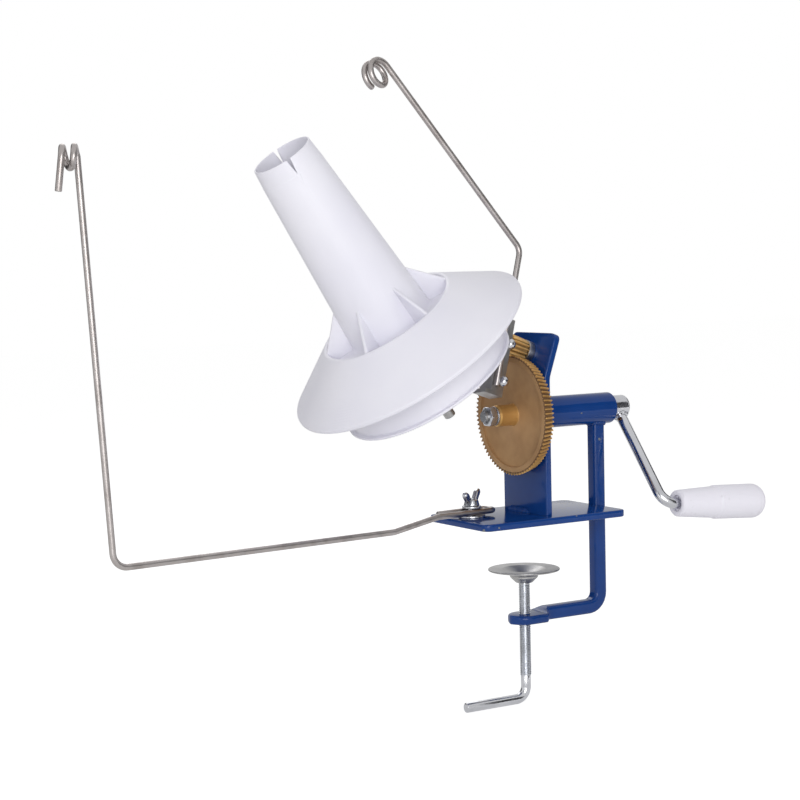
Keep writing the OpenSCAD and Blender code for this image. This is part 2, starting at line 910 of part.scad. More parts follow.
module winding_cone() {
  slope_t = wall * norm([1, well_h / (flange_r - well_r)]);
  color([0.93, 0.92, 0.96])
    on_cone()
      difference() {
        union() {
          rotate_extrude($fn = 180)
            polygon([
              [cone_top_r - wall, cone_h], [cone_top_r, cone_h], [cone_foot_r, floor_h + wall],
              [well_r - wall, floor_h + wall], [well_r - wall, well_h], [well_r, well_h],
              [flange_r, 0], [flange_r, -3], [flange_r - wall, -3],
              [flange_r - wall, flange_top(flange_r - wall) - slope_t],
              [well_r, flange_top(well_r) - slope_t], [well_r, floor_h],
              [cone_foot_r - wall, floor_h]]);
          for (k = [0:rib_count - 1])
            rotate([0, 0, rib_turn + 360 * k / rib_count])
              rib();
        }
        rotate([0, 0, slit_turn])
          slit();
      }
}

module rib() {
  foot = cone_foot_r - 0.8 * wall;
  tip_h = well_h + rib_h;
  lean = (cone_foot_r - cone_top_r) / (cone_h - floor_h - wall);
  tip_r = cone_foot_r - 0.8 * wall - lean * (tip_h - floor_h - wall);
  translate([0, rib_t / 2, 0])
    rotate([90, 0, 0])
      linear_extrude(height = rib_t)
        polygon([
          [foot, floor_h + wall / 2], [well_r - wall / 2, floor_h + wall / 2],
          [well_r - wall / 2, well_h], [tip_r, tip_h]]);
}

// Two opposite slits, cut as one wedge through the mouth of the cone
module slit() {
  translate([0, cone_top_r + 5, cone_h])
    rotate([90, 0, 0])
      linear_extrude(height = 2 * cone_top_r + 10)
        polygon([
          [-slit_w / 2, 1], [slit_w / 2, 1], [slit_w / 2, 0], [0.3, -slit_d], [-0.3, -slit_d],
          [-slit_w / 2, 0]]);
}

module drum() {
  web_t = 3;
  spigot_r = cone_foot_r - wall;
  top = flange_top(drum_r) - wall * norm([1, well_h / (flange_r - well_r)]);
  web_top = min(floor_h, top);
  color([0.91, 0.90, 0.95])
    on_cone()
      difference() {
        union() {
          rotate_extrude($fn = 180)
            polygon([
              [drum_r - wall, -drum_depth], [lip_r, -drum_depth], [lip_r, lip_t - drum_depth],
              [drum_r, lip_t - drum_depth], [drum_r, top], [drum_r - wall, top]]);
          translate([0, 0, web_top - web_t])
            cylinder(r = drum_r - 0.8 * wall, h = web_t);
          translate([0, 0, web_top - web_t])
            cylinder(r = well_r - wall, h = floor_h - web_top + web_t);
          translate([0, 0, floor_h - web_t])
            cylinder(r = spigot_r - run_fit - 1, h = web_t + wall);
          translate([0, 0, boss_low])
            cylinder(r = cone_axle_d / 2 + 5, h = boss_h - boss_low);
        }
        translate([0, 0, -2 * drum_depth])
          rod(cone_axle_d + 2 * run_fit, 2 * cone_h);
      }
}

// Clamp pieces
module clamp_pad() {
  seat_r = screw_d / 2 + 2;
  color([0.80, 0.81, 0.85])
    translate([0, 0, -pad_gap])
      difference() {
        rotate_extrude()
          polygon([
            [0, -pad_dish + pad_t], [seat_r + 3, -pad_dish + pad_t], [pad_d / 2 - 3, 0],
            [pad_d / 2, 0], [pad_d / 2, -pad_t], [pad_d / 2 - 3 + pad_t / 2, -pad_t],
            [seat_r + 4, -pad_dish], [seat_r + 4, -pad_dish - 1],
            [seat_r, -pad_dish - pad_hub_h], [0, -pad_dish - pad_hub_h]]);
        translate([0, 0, -pad_dish - pad_hub_h - 1])
          rod(tip_d + 2 * run_fit, pad_hub_h + 1);
      }
}

module clamp_screw() {
  run = screw_l - screw_handle_r;
  color([0.82, 0.82, 0.84]) {
    translate([0, 0, screw_top])
      rod(tip_d, pad_hub_h);
    translate([0, 0, screw_top]) rotate([180, 0, 0]) {
      rod(screw_d, run);
      translate([0, 0, run])
        rotate([0, 0, 180]) {
          bend(screw_d, screw_handle_r, 90);
          past_bend(screw_handle_r, 90)
            rod(screw_d, handle_l - screw_handle_r);
        }
    }
  }
}

// Guide pieces
module guide_washer() {
  color([0.75, 0.75, 0.76])
    translate([-stud_x, stud_y, plate_t])
      pipe(guide_washer_d, stud_d + 2 * run_fit, guide_washer_t);
}

module guide_wire() {
  u = [-sin(guide_lean), 0, cos(guide_lean)];
  outward = [-cos(guide_lean), 0, -sin(guide_lean)];
  v = cos(guide_eye_turn) * outward - sin(guide_eye_turn) * [0, 1, 0];
  w = sin(guide_eye_turn) * outward + cos(guide_eye_turn) * [0, 1, 0];
  back = hairpin_back - leg_half;
  pin = curve([back, leg_half, guide_z], [1, 0, 0], [0, -1, 0], leg_half, 180, 10);
  corner = curve([guide_bend - guide_reach, -leg_half, run_z], [-1, 0, 0], [0, 0, 1],
    guide_bend, 90 - guide_lean, 8);
  tip = corner[8] + (guide_h - guide_bend - run_z) * u;
  turn = 540;
  eye = coil(tip, u, v, w, guide_eye_r, guide_eye_step, turn);
  end = len(eye) - 1;
  color([0.66, 0.65, 0.63])
    on_guide()
      wire(concat([[-hairpin_front, leg_half, guide_z]], pin,
        [[-jog_start, -leg_half, guide_z], [-jog_start - jog_l, -leg_half, run_z]],
        corner, [tip], eye, [eye[end] + tail_l * unit(eye[end] - eye[end - 1])]), [0, 0, 1]);
}

module top_washer() {
  color([0.75, 0.75, 0.76])
    translate([-stud_x, stud_y, top_washer_z])
      pipe(guide_washer_d, stud_d + 2 * run_fit, guide_washer_t);
}

module wing_nut() {
  color([0.78, 0.79, 0.80])
    translate([-stud_x, stud_y, wing_z])
      difference() {
        union() {
          cylinder(d1 = 2 * stud_d, d2 = 1.6 * stud_d, h = wing_hub_h);
          for (side = [0, 180])
            rotate([0, 0, 35 + side])
              wing();
        }
        translate([0, 0, -1])
          cylinder(d = stud_d + 2 * run_fit, h = wing_hub_h + 2);
      }
}

module wing() {
  wing_t = 2.4;
  ear_r = 4;
  ear = [11.5, 10.5];
  inner = stud_d / 2 + 0.5;
  translate([0, wing_t / 2, 0])
    rotate([90, 0, 0])
      linear_extrude(height = wing_t) {
        polygon([[inner, 1], [5.5, 0.6], [14, 9], [8, 13], [inner, 6]]);
        translate(ear)
          circle(r = ear_r);
      }
}

base_plate();
upright_plate();
bearing_tube();
front_bush();
rear_bush();
thrust_washer();
clamp_bar();
flyer_axle();
axle_washer();
axle_nut();
axle_collar();
cone_bracket();
cone_axle();
axle_spacer();
lower_nut();
top_nut();
guide_stud();
crank_shaft();
crank_hub();
crank_arm();
drive_gear();
gear_washer();
gear_nut();
grip_nut();
hand_grip();
grip_cap();
pinion();
flyer_sleeve();
bar_spacer();
flyer_bar();
flyer_wire();
upper_screw();
lower_screw();
friction_ring();
winding_cone();
drum();
clamp_pad();
clamp_screw();
guide_washer();
guide_wire();
top_washer();
wing_nut();
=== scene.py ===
"""Yarn ball winder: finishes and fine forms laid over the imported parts."""

import json
import math

import bpy
import numpy as np
from mathutils import Matrix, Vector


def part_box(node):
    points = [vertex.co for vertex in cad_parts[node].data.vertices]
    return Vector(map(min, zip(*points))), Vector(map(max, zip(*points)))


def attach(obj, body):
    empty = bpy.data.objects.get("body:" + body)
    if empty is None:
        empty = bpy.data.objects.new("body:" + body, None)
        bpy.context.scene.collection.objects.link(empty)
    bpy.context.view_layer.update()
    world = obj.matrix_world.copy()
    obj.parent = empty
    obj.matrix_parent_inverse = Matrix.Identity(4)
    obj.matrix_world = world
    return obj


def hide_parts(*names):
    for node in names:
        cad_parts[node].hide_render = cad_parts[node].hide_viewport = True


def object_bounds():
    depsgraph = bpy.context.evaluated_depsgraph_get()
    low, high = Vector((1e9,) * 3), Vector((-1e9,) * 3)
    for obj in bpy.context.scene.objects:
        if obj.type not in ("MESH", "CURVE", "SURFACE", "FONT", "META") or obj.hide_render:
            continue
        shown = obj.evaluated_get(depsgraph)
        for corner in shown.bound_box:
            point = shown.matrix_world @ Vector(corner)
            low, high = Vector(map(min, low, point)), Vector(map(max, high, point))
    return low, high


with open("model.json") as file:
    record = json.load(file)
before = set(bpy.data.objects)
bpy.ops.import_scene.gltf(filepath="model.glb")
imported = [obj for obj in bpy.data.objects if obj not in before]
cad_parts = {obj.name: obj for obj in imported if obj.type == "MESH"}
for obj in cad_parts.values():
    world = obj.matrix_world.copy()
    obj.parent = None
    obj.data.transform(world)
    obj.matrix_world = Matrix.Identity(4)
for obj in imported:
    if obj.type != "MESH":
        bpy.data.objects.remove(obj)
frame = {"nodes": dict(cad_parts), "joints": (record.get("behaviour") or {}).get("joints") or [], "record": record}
cad_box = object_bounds()

MM = 0.001
TURN = 2 * math.pi
UP = np.array([0.0, 0.0, 1.0])
ACROSS = np.array([0.0, 1.0, 0.0])
BACK = np.array([1.0, 0.0, 0.0])


# Places


def unit(v):
    return v / np.linalg.norm(v, axis=-1, keepdims=True)


class Seat:
    """An origin with three square directions: z along an axis, x on its upper side."""

    def __init__(self, origin, along, upper):
        self.origin = np.array(origin, float)
        z = unit(np.array(along, float))
        x = unit(upper - np.dot(upper, z) * z)
        self.turn = np.array([x, np.cross(z, x), z])

    def place(self, points):
        return self.origin + points @ self.turn

    def local(self, points):
        return (points - self.origin) @ self.turn.T

    def turned_by(self, degrees):
        a = math.radians(degrees)
        upper = math.cos(a) * self.turn[0] + math.sin(a) * self.turn[1]
        return Seat(self.origin, self.turn[2], upper)


def joint_seat(name, upper=UP):
    joint = next(j for j in frame["joints"] if j["name"] == name)
    return Seat(joint["pos_m"], joint["axis"], upper)


def node_points(node, seat):
    """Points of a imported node, seen from a seat."""
    vertices = frame["nodes"][node].data.vertices
    points = np.empty(3 * len(vertices), np.float32)
    vertices.foreach_get("co", points)
    return seat.local(points.reshape(-1, 3).astype(float))


def span(node, seat):
    """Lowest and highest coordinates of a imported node, seen from a seat."""
    local = node_points(node, seat)
    return local.min(0), local.max(0)


def bore_of(node, seat):
    """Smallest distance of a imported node's points from the seat's axis."""
    local = node_points(node, seat)
    return np.hypot(local[:, 0], local[:, 1]).min()


SHAFT = joint_seat("crank_spin")
FLYER = joint_seat("flyer_spin")
CONE = joint_seat("cone_spin")
GRIP = joint_seat("grip_spin")
STUD = joint_seat("guide_swing", BACK)


# Surfaces: each is a grid of points, rows along a profile or path, columns round it

SQUARE = np.array([[-1, -1], [1, -1], [1, 1], [-1, 1]])


def turns(steps):
    """Angles evenly round one turn."""
    return np.linspace(0, TURN, steps, endpoint=False)


def circle(sides):
    """Points (cos a, sin a) of a circle of radius 1."""
    a = turns(sides)
    return np.stack([np.cos(a), np.sin(a)], -1)


def round_z(r, a, h):
    """Points at radius r, turn a and height h: (r cos a, r sin a, h)."""
    return np.stack([r * np.cos(a), r * np.sin(a), h + 0 * a], -1)


def rounded(corners, radius, steps=5, closed=True):
    """A line whose corners are arcs tangent to both edges, turned evenly from one to the other."""
    corners = np.asarray(corners, float)
    radius = np.broadcast_to(np.asarray(radius, float), len(corners))
    if not closed:
        inner = rounded_corners(corners[:-2], corners[1:-1], corners[2:], radius[1:-1], steps)
        return np.concatenate([corners[:1], inner, corners[-1:]])
    return rounded_corners(
        np.roll(corners, 1, 0), corners, np.roll(corners, -1, 0), radius, steps)


def rounded_corners(before, corner, after, radius, steps):
    """Arc points for each corner, given the corners before and after it."""
    back, ahead = before - corner, after - corner
    room = np.minimum(np.linalg.norm(back, axis=1), np.linalg.norm(ahead, axis=1))
    back, ahead = unit(back), unit(ahead)
    half = np.arccos(np.clip(np.sum(back * ahead, 1), -0.999999, 0.999999)) / 2
    reach = np.minimum(radius / np.tan(half), 0.49 * room)
    middle = corner + unit(back + ahead) * (reach / np.cos(half))[:, None]
    start = corner + back * reach[:, None] - middle
    end = corner + ahead * reach[:, None] - middle
    sweep = (math.pi - 2 * half)[:, None, None]
    f = np.linspace(0, 1, steps + 1)[None, :, None]
    spoke = np.sin((1 - f) * sweep) * start[:, None] + np.sin(f * sweep) * end[:, None]
    return (middle[:, None] + spoke / np.sin(sweep)).reshape(-1, corner.shape[1])


def stations(path, distances):
    """Points of a path at given distances from its start."""
    run = np.concatenate([[0], np.cumsum(np.linalg.norm(np.diff(path, axis=0), axis=1))])
    return np.stack([np.interp(distances, run, path[:, k]) for k in range(3)], 1)


def length(path):
    return np.linalg.norm(np.diff(path, axis=0), axis=1).sum()


def turned(outline, steps=96):
    """A profile of radius and height carried round z."""
    return round_z(outline[:, :1], turns(steps), outline[:, 1:])


def swept(path, sections, upper):
    """Sections carried along a path: path + x side + y other, both square to the tangent.

    The side keeps its turn: at each station it is the last one, laid square to the tangent.
    """
    tangent = unit(np.gradient(path, axis=0))
    side = [np.array(upper, float)]
    for t in tangent:
        side.append(unit(side[-1] - np.dot(side[-1], t) * t))
    side = np.array(side[1:])
    other = np.cross(tangent, side)
    x, y = sections[..., :1], sections[..., 1:]
    return path[:, None] + x * side[:, None] + y * other[:, None]


def tube(path, radius, upper, sides=24, ease=0.4 * MM):
    """A round bar along a path, its two ends eased by a small arc."""
    total = length(path)
    bite = np.array([0.0, 0.3, 1.0]) * ease
    head, tail = stations(path, bite), stations(path, total - bite[::-1])
    path = np.concatenate([head, path[1:-1], tail])
    r = np.full(len(path), radius)
    r[:3] -= bite[::-1]
    r[-3:] -= bite
    return swept(path, r[:, None, None] * circle(sides), upper)


def threaded(radius, depth, pitch, low, high, sides=40, per_turn=10):
    """A screw thread: the radius falls by a triangle wave of height less turn, faded at both ends."""
    h = np.linspace(low, high, int((high - low) / pitch * per_turn))[:, None]
    a = turns(sides)
    wave = np.abs(2 * ((h / pitch - a / TURN) % 1) - 1)
    fade = np.clip(np.minimum(h - low, high - h) / pitch, 0, 1)
    r = radius - depth * np.clip(1.15 * wave, 0, 1) * fade - 0.6 * depth * (1 - fade)
    return round_z(r, a, h)


def hexagon(flats, bore, low, high, sides=96):
    """A nut: the radius is the smaller of the six flats and the chamfer cone, closed by its bore."""
    a = turns(sides)
    flat = flats / 2 / np.cos((a + TURN / 12) % (TURN / 6) - TURN / 12)
    height = high - low
    bite = np.array([0, 0.06, 0.14, 0.5, 0.86, 0.94, 1])[:, None]
    edge = np.minimum(bite, 1 - bite) * height
    outer = np.minimum(flat, flats * 0.43 + edge * 1.75)
    inner = np.array([[bore + 0.3 * MM], [bore], [bore], [bore + 0.3 * MM]]) + 0 * a
    inner_bite = np.array([1, 0.92, 0.08, 0])[:, None]
    r = np.concatenate([outer, inner])
    return round_z(r, a, low + height * np.concatenate([bite, inner_bite]))


def slab(corners, corner_r, low, high, ease, steps=6):
    """A flat plate: its outline at each height of a rounded edge, inset as the edge turns in."""
    q = np.linspace(0, math.pi / 2, 5)
    inset = ease * (1 - np.concatenate([np.sin(q), np.sin(q[::-1])]))
    h = np.concatenate([low + ease * (1 - np.cos(q)), high - ease * (1 - np.cos(q[::-1]))])
    corners = np.asarray(corners, float)
    centre = corners.mean(0)
    rings = []
    for d, z in zip(inset, h):
        smaller = corners - np.sign(corners - centre) * d
        line = rounded(smaller, corner_r - d, steps)
        rings.append(np.column_stack([line, np.full(len(line), z)]))
    return np.array(rings)


def fin(edge, middle, turn, half, rims):
    """A flat fin on a spoke: its edge line, drawn in towards its middle by each rim's inset.

    A rim gives its inset in millimetres and its place across, from -1 to 1 half thicknesses.
    """
    spoke = np.array([math.cos(turn), math.sin(turn), 0])
    side = np.array([-math.sin(turn), math.cos(turn), 0])
    inward = unit(middle - edge)
    rows = []
    for inset, across in rims:
        line = edge + inward * inset * MM
        rows.append(line[:, :1] * spoke + line[:, 1:] * UP + across * half * side)
    return np.array(rows)


def ring_line(bore, outer, low, high):
    """Profile of a plain ring: radius and height of its four corners."""
    return [[bore, low], [outer, low], [outer, high], [bore, high]]


def washer(node, seat, widest):
    """A flat ring with eased edges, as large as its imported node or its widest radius."""
    low, high = span(node, seat)
    outline = ring_line(bore_of(node, seat), min(high[0], widest), low[2], high[2])
    return seat.place(turned(rounded(outline, 0.25 * MM, 3), 72))


def shell(grid, ring=False):
    """Faces and face-corner coordinates of a grid that closes round its columns.

    A ring closes along its rows too; any other grid gets a flat cap at each end.
    """
    rows, cols = grid.shape[:2]
    count = rows if ring else rows - 1
    i, j = np.mgrid[0:count, 0:cols]
    corner_i = np.stack([i, i, i + 1, i + 1], -1).reshape(-1, 4)
    corner_j = np.stack([j, j + 1, j + 1, j], -1).reshape(-1, 4)
    faces = corner_i % rows * cols + corner_j % cols
    middle = grid.mean(1)
    steps = np.linalg.norm(np.diff(np.concatenate([middle, middle[:1]]), axis=0), axis=1)
    run = np.concatenate([[0], np.cumsum(steps)])
    wrap = np.stack([corner_j / cols, run[corner_i]], -1)
    caps = [] if ring else [np.arange(cols)[::-1], (rows - 1) * cols + np.arange(cols)]
    points = grid.reshape(-1, 3)
    fans = [np.stack([np.full(cols - 2, c[0]), c[1:-1], c[2:]], -1) for c in caps]
    triangles = np.concatenate([faces[:, [0, 1, 2]], faces[:, [0, 2, 3]], *fans])
    a, b, c = (points[triangles[:, k]] - points[0] for k in range(3))
    if np.sum(a * np.cross(b, c)) < 0:
        faces, wrap = faces[:, ::-1], wrap[:, ::-1]
        caps = [cap[::-1] for cap in caps]
    return points, faces, wrap, caps


def put(name, data):
    """A new object in the scene."""
    made = bpy.data.objects.new(name, data)
    bpy.context.scene.collection.objects.link(made)
    return made


def piece(name, body, slot, shells, nodes=(), sharp=38):
    """One mesh object of closed shells, shaded smooth up to a sharp edge, riding on a body."""
    points, faces, wraps, start = [], [], [], 0
    caps, cap_wraps = [], []
    for grid, ring in shells:
        p, f, w, c = shell(grid, ring)
        points.append(p)
        faces.append(f + start)
        wraps.append(w.reshape(-1, 2))
        caps += [cap + start for cap in c]
        cap_wraps += [np.zeros((len(cap), 2)) for cap in c]
        start += len(p)
    mesh = bpy.data.meshes.new(name)
    listed = np.concatenate(faces).tolist() + [cap.tolist() for cap in caps]
    mesh.from_pydata(np.concatenate(points).tolist(), [], listed)
    wrap = mesh.uv_layers.new(name="wrap")
    wrap.data.foreach_set("uv", np.concatenate(wraps + cap_wraps).ravel())
    mesh.polygons.foreach_set("use_smooth", np.ones(len(mesh.polygons), bool))
    mesh.set_sharp_from_angle(angle=math.radians(sharp))
    mesh.materials.append(FINISH[slot])
    made = put(name, mesh)
    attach(made, body)
    if nodes:
        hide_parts(*nodes)


# Shader arithmetic


class Signal:
    """A shader socket; arithmetic on it adds Math nodes to its tree."""

    def __init__(self, tree, socket=None):
        self.tree = tree
        self.socket = socket

    def node(self, kind, settings=None, sockets=None, out=0):
        """Adds a node: its settings first, then its values and links; gives one output."""
        made = self.tree.nodes.new(kind)
        for name, value in (settings or {}).items():
            setattr(made, name, value)
        for name, value in (sockets or {}).items():
            if isinstance(value, Signal):
                self.tree.links.new(value.socket, made.inputs[name])
            else:
                made.inputs[name].default_value = value
        return Signal(self.tree, made.outputs[out] if len(made.outputs) else None)

    def math(self, operation, a, b):
        return self.node("ShaderNodeMath", {"operation": operation}, {0: a, 1: b})

    def __add__(self, other):
        return self.math("ADD", self, other)

    __radd__ = __add__

    def __sub__(self, other):
        return self.math("SUBTRACT", self, other)

    def __rsub__(self, other):
        return self.math("SUBTRACT", other, self)

    def __mul__(self, other):
        return self.math("MULTIPLY", self, other)

    __rmul__ = __mul__

    def __truediv__(self, other):
        return self.math("DIVIDE", self, other)

    def __lt__(self, other):
        return self.math("LESS_THAN", self, other)

    def clamp(self, low, high):
        """0 below low, 1 above high, smooth between."""
        return self.node(
            "ShaderNodeMapRange",
            {"interpolation_type": "SMOOTHSTEP"},
            {"Value": self, "From Min": low, "From Max": high})

    def wave(self, pitch):
        """Sine of this distance, one wave per pitch."""
        return self.node("ShaderNodeMath", {"operation": "SINE"}, {0: self * (TURN / pitch)})

    def blend(self, a, b):
        """Colour a where this is 0 and colour b where it is 1."""
        return self.node("ShaderNodeMix", {"data_type": "RGBA"}, {0: self, 6: a, 7: b}, 2)


def rgb(r, g, b):
    """Linear colour of display values from 0 to 255."""
    c = np.array([r, g, b]) / 255
    linear = np.where(c <= 0.04045, c / 12.92, ((c + 0.055) / 1.055) ** 2.4)
    return (*linear.tolist(), 1.0)


class Coat:
    """A material under construction: its tree, its coordinates and its one surface shader."""

    def __init__(self, name):
        self.material = bpy.data.materials.new(name)
        self.material.use_nodes = True
        self.tree = self.material.node_tree
        self.tree.nodes.clear()
        self.blank = Signal(self.tree)
        self.place = self.blank.node("ShaderNodeTexCoord", out="Object")

    def noise(self, scale, detail, vector=None):
        return self.blank.node(
            "ShaderNodeTexNoise", {},
            {"Vector": vector or self.place, "Scale": scale, "Detail": detail, "Roughness": 0.55})

    def vector(self, operation, a, b, out=0):
        return self.blank.node("ShaderNodeVectorMath", {"operation": operation}, {0: a, 1: b}, out)

    def wrapped(self, across, along):
        """The piece's own wrap, stretched: turns across, metres along."""
        wrap = self.blank.node("ShaderNodeUVMap", {"uv_map": "wrap"})
        return self.vector("MULTIPLY", wrap, (across, along, 1))

    def offset(self, seat):
        return self.vector("SUBTRACT", self.place, tuple(seat.origin))

    def radius(self, seat):
        """Distance from a seat's axis: the length of the offset crossed with the axis."""
        arm = self.vector("CROSS_PRODUCT", self.offset(seat), tuple(seat.turn[2]))
        return self.vector("LENGTH", arm, (0, 0, 0), "Value")

    def height(self, seat):
        """Distance along a seat's axis: the offset times the axis."""
        return self.vector("DOT_PRODUCT", self.offset(seat), tuple(seat.turn[2]), "Value")

    def soft_edge(self, radius):
        """The surface normal rounded over edges by a small radius."""
        return self.blank.node("ShaderNodeBevel", {"samples": 4}, {"Radius": radius})

    def bump(self, height, strength, distance, normal=None):
        sockets = {"Height": height, "Strength": strength, "Distance": distance}
        if normal is not None:
            sockets["Normal"] = normal
        return self.blank.node("ShaderNodeBump", {}, sockets)

    def finish(self, **sockets):
        """Closes the material with one surface shader; names use _ for a space."""
        named = {key.replace("_", " "): value for key, value in sockets.items()}
        shader = self.blank.node("ShaderNodeBsdfPrincipled", {}, named)
        self.blank.node("ShaderNodeOutputMaterial", {}, {"Surface": shader})
        return self.material


# Finishes

EDGE = 0.5 * MM
BOSS_R = 7.5 * MM
RIM_R = 37.0 * MM
GEAR_PITCH_R, PINION_PITCH_R = 42 * MM, 7.173 * MM
GEAR_TEETH, PINION_TEETH = 84, 14
GEAR_APEX, PINION_APEX = 143.48 * MM, 153.03 * MM
TOOTH_PLAY = 0.36 * MM
GEAR_FRONT = span("drive_gear", SHAFT)[0][2] + 8.5 * MM
# Place and radius of each chip in the enamel
CHIPS = MM * np.array([
    (45.0, -10.5, 73.5, 1.0), (65.5, -5.2, 53.0, 1.2), (70.0, -4.0, -26.0, 0.9),
    (-56.0, -33.0, 1.0, 1.3), (-46.0, -36.2, 2.2, 0.9), (20.0, -36.4, 4.6, 0.8)])


def enamel():
    """Thick blue gloss: a faint flow in the colour, orange peel, and a few chips to grey steel."""
    coat = Coat("blue_enamel")
    flow = coat.noise(18, 2).clamp(0.3, 0.7)
    blue = flow.blend(rgb(14, 54, 118), rgb(19, 62, 130))
    ragged = coat.noise(900, 2) * (1.1 * MM)
    bare = 0.0
    for *place, radius in CHIPS:
        away = coat.vector("DISTANCE", coat.place, place, "Value")
        bare = ((away + ragged) < radius + 0.45 * MM) + bare
    peel = coat.noise(260, 1) + 0.25 * coat.noise(1400, 1)
    dents = coat.bump(peel - 2.0 * bare, 0.10, 0.3 * MM, coat.soft_edge(EDGE))
    return coat.finish(
        Base_Color=bare.blend(blue, rgb(108, 112, 118)),
        Roughness=0.09 + 0.06 * coat.noise(60, 2) + 0.3 * bare,
        Normal=dents, Specular_IOR_Level=0.32)


def gear_metal():
    """Sintered bronze: a dull brown wheel with a turned boss, bright tooth tips, and painted shade darkening the
    gaps between the teeth.
    """
    coat = Coat("gear_bronze")
    patch = coat.noise(40, 3).clamp(0.35, 0.7)
    grain = coat.noise(2600, 2)
    radius = coat.radius(SHAFT)
    reach = radius / (1 + (coat.height(SHAFT) - GEAR_FRONT) / GEAR_APEX)
    boss, pitch = 1 - radius.clamp(BOSS_R, BOSS_R + 1 * MM), GEAR_PITCH_R
    tip = reach.clamp(pitch - 0.4 * MM, pitch + 0.4 * MM)
    # Painted shade: floor and gap mark the roots between the teeth, and the colour there is darkened towards dark
    # brown.
    floor = reach.clamp(pitch - 1.5 * MM, pitch - 1.2 * MM)
    gap = floor * (1 - reach.clamp(pitch - 1.1 * MM, pitch + 0.2 * MM))
    bright = boss + tip
    web = patch.blend(rgb(184, 145, 101), rgb(166, 127, 86))
    gold = patch.blend(rgb(214, 170, 104), rgb(196, 150, 86))
    return coat.finish(
        Base_Color=(0.75 * gap).blend(bright.blend(web, gold), rgb(74, 50, 24)),
        Metallic=0.25 + 0.35 * bright, Roughness=0.5 - 0.16 * bright + 0.14 * grain,
        Normal=coat.bump(
            grain + 0.3 * boss * radius.wave(0.5 * MM), 0.22, 0.08 * MM, coat.soft_edge(0.15 * MM)))


def pinion_metal():
    """Cut brass: brighter than the gear, with painted shade darkening the gaps between its teeth."""
    coat = Coat("pinion_brass")
    grain = coat.noise(1500, 2)
    patch = coat.noise(60, 2).clamp(0.3, 0.7)
    # Painted shade: gap marks the roots between the teeth, and the colour there is darkened towards dark brown.
    gap = 1 - coat.radius(FLYER).clamp(5.9 * MM, 7.0 * MM)
    gold = patch.blend(rgb(250, 208, 138), rgb(240, 196, 126))
    return coat.finish(
        Base_Color=(0.7 * gap).blend(gold, rgb(110, 78, 38)),
        Metallic=0.4, Roughness=0.26 + 0.1 * grain)


def plated(name, bright, dull, rough, cloud_scale):
    """Plated steel: a clean metal with faint clouds in colour and gloss."""
    coat = Coat(name)
    cloud = coat.noise(cloud_scale, 3).clamp(0.3, 0.75)
    fine = coat.noise(1800, 2)
    return coat.finish(
        Base_Color=cloud.blend(bright, dull), Metallic=1.0,
        Roughness=rough + 0.06 * cloud + 0.03 * fine,
        Normal=coat.soft_edge(0.3 * MM))


def drawn_wire():
    """Drawn steel: faint lines along the wire, patches of tarnish."""
    coat = Coat("drawn_wire")
    lines = coat.noise(1, 1, coat.wrapped(16, 14))
    tarnish = coat.noise(70, 3).clamp(0.4, 0.75)
    return coat.finish(
        Base_Color=tarnish.blend(rgb(192, 186, 184), rgb(168, 161, 158)), Metallic=1.0,
        Roughness=0.30 + 0.08 * lines)


def plain_metal(name, colour):
    """Turned metal with fine grain."""
    coat = Coat(name)
    grain = coat.noise(1200, 2)
    cloud = coat.noise(90, 2).clamp(0.3, 0.7)
    dark = tuple(0.82 * c for c in colour[:3]) + (1.0,)
    return coat.finish(
        Base_Color=cloud.blend(colour, dark), Metallic=1.0, Roughness=0.26 + 0.2 * grain,
        Normal=coat.bump(grain, 0.1, 0.05 * MM, coat.soft_edge(0.25 * MM)))


def cone_plastic():
    """White moulding: satin, faint flow marks, fine rings round the cone's axis."""
    coat = Coat("white_moulding")
    radius = coat.radius(CONE)
    outside = radius.clamp(52 * MM, 56 * MM)
    rings = outside * radius.wave(1.6 * MM)
    cloud = coat.noise(14, 2).clamp(0.3, 0.7)
    fine = coat.noise(1100, 2)
    return coat.finish(
        Base_Color=cloud.blend(rgb(236, 235, 243), rgb(230, 229, 239)),
        Roughness=0.36 + 0.12 * fine,
        Normal=coat.bump(0.5 * rings + 0.15 * fine, 0.3, 0.1 * MM, coat.soft_edge(EDGE)))


def grip_plastic():
    """White grip: smooth, a few faint scuffs."""
    coat = Coat("white_grip")
    scuff = coat.noise(220, 4).clamp(0.62, 0.72)
    fine = coat.noise(900, 2)
    return coat.finish(
        Base_Color=(0.35 * scuff).blend(rgb(235, 233, 242), rgb(205, 203, 210)),
        Roughness=0.38 + 0.15 * fine + 0.1 * scuff,
        Normal=coat.bump(fine, 0.05, 0.05 * MM, coat.soft_edge(EDGE)))


def rubber():
    """Black rubber: matt, fine pits."""
    coat = Coat("black_rubber")
    pits = coat.noise(1600, 2)
    return coat.finish(
        Base_Color=pits.blend(rgb(30, 30, 31), rgb(44, 44, 46)), Roughness=0.62 + 0.2 * pits,
        Normal=coat.bump(pits, 0.3, 0.1 * MM))


FINISH = {
    "enamel": enamel(),
    "bronze": plain_metal("bush_bronze", rgb(190, 150, 92)),
    "zinc": plated("bright_zinc", rgb(218, 221, 227), rgb(194, 196, 200), 0.2, 60),
    "chrome": plated("bright_plate", rgb(226, 227, 231), rgb(208, 209, 214), 0.13, 30),
    "steel": plain_metal("bare_steel", rgb(190, 189, 188)),
    "wire": drawn_wire(),
    "gear_brass": gear_metal(),
    "pinion_brass": pinion_metal(),
    "grip_plastic": grip_plastic(),
    "cone_plastic": cone_plastic(),
    "rubber": rubber(),
}
for subpart in frame["record"]["subparts"]:
    node_mesh = frame["nodes"][subpart["node"]].data
    node_mesh.materials.clear()
    node_mesh.materials.append(FINISH[subpart["material_slot"]])


# Plates, tube and clamp bar


def base_plate():
    """A flat plate with round corners and eased edges."""
    low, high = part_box("base_plate")
    corners = [[low.x, low.y], [high.x, low.y], [high.x, high.y], [low.x, high.y]]
    plate = slab(corners, 6 * MM, low.z, high.z, 1.0 * MM, 10)
    piece("plate", "frame", "enamel", [(plate, False)], ["base_plate"])


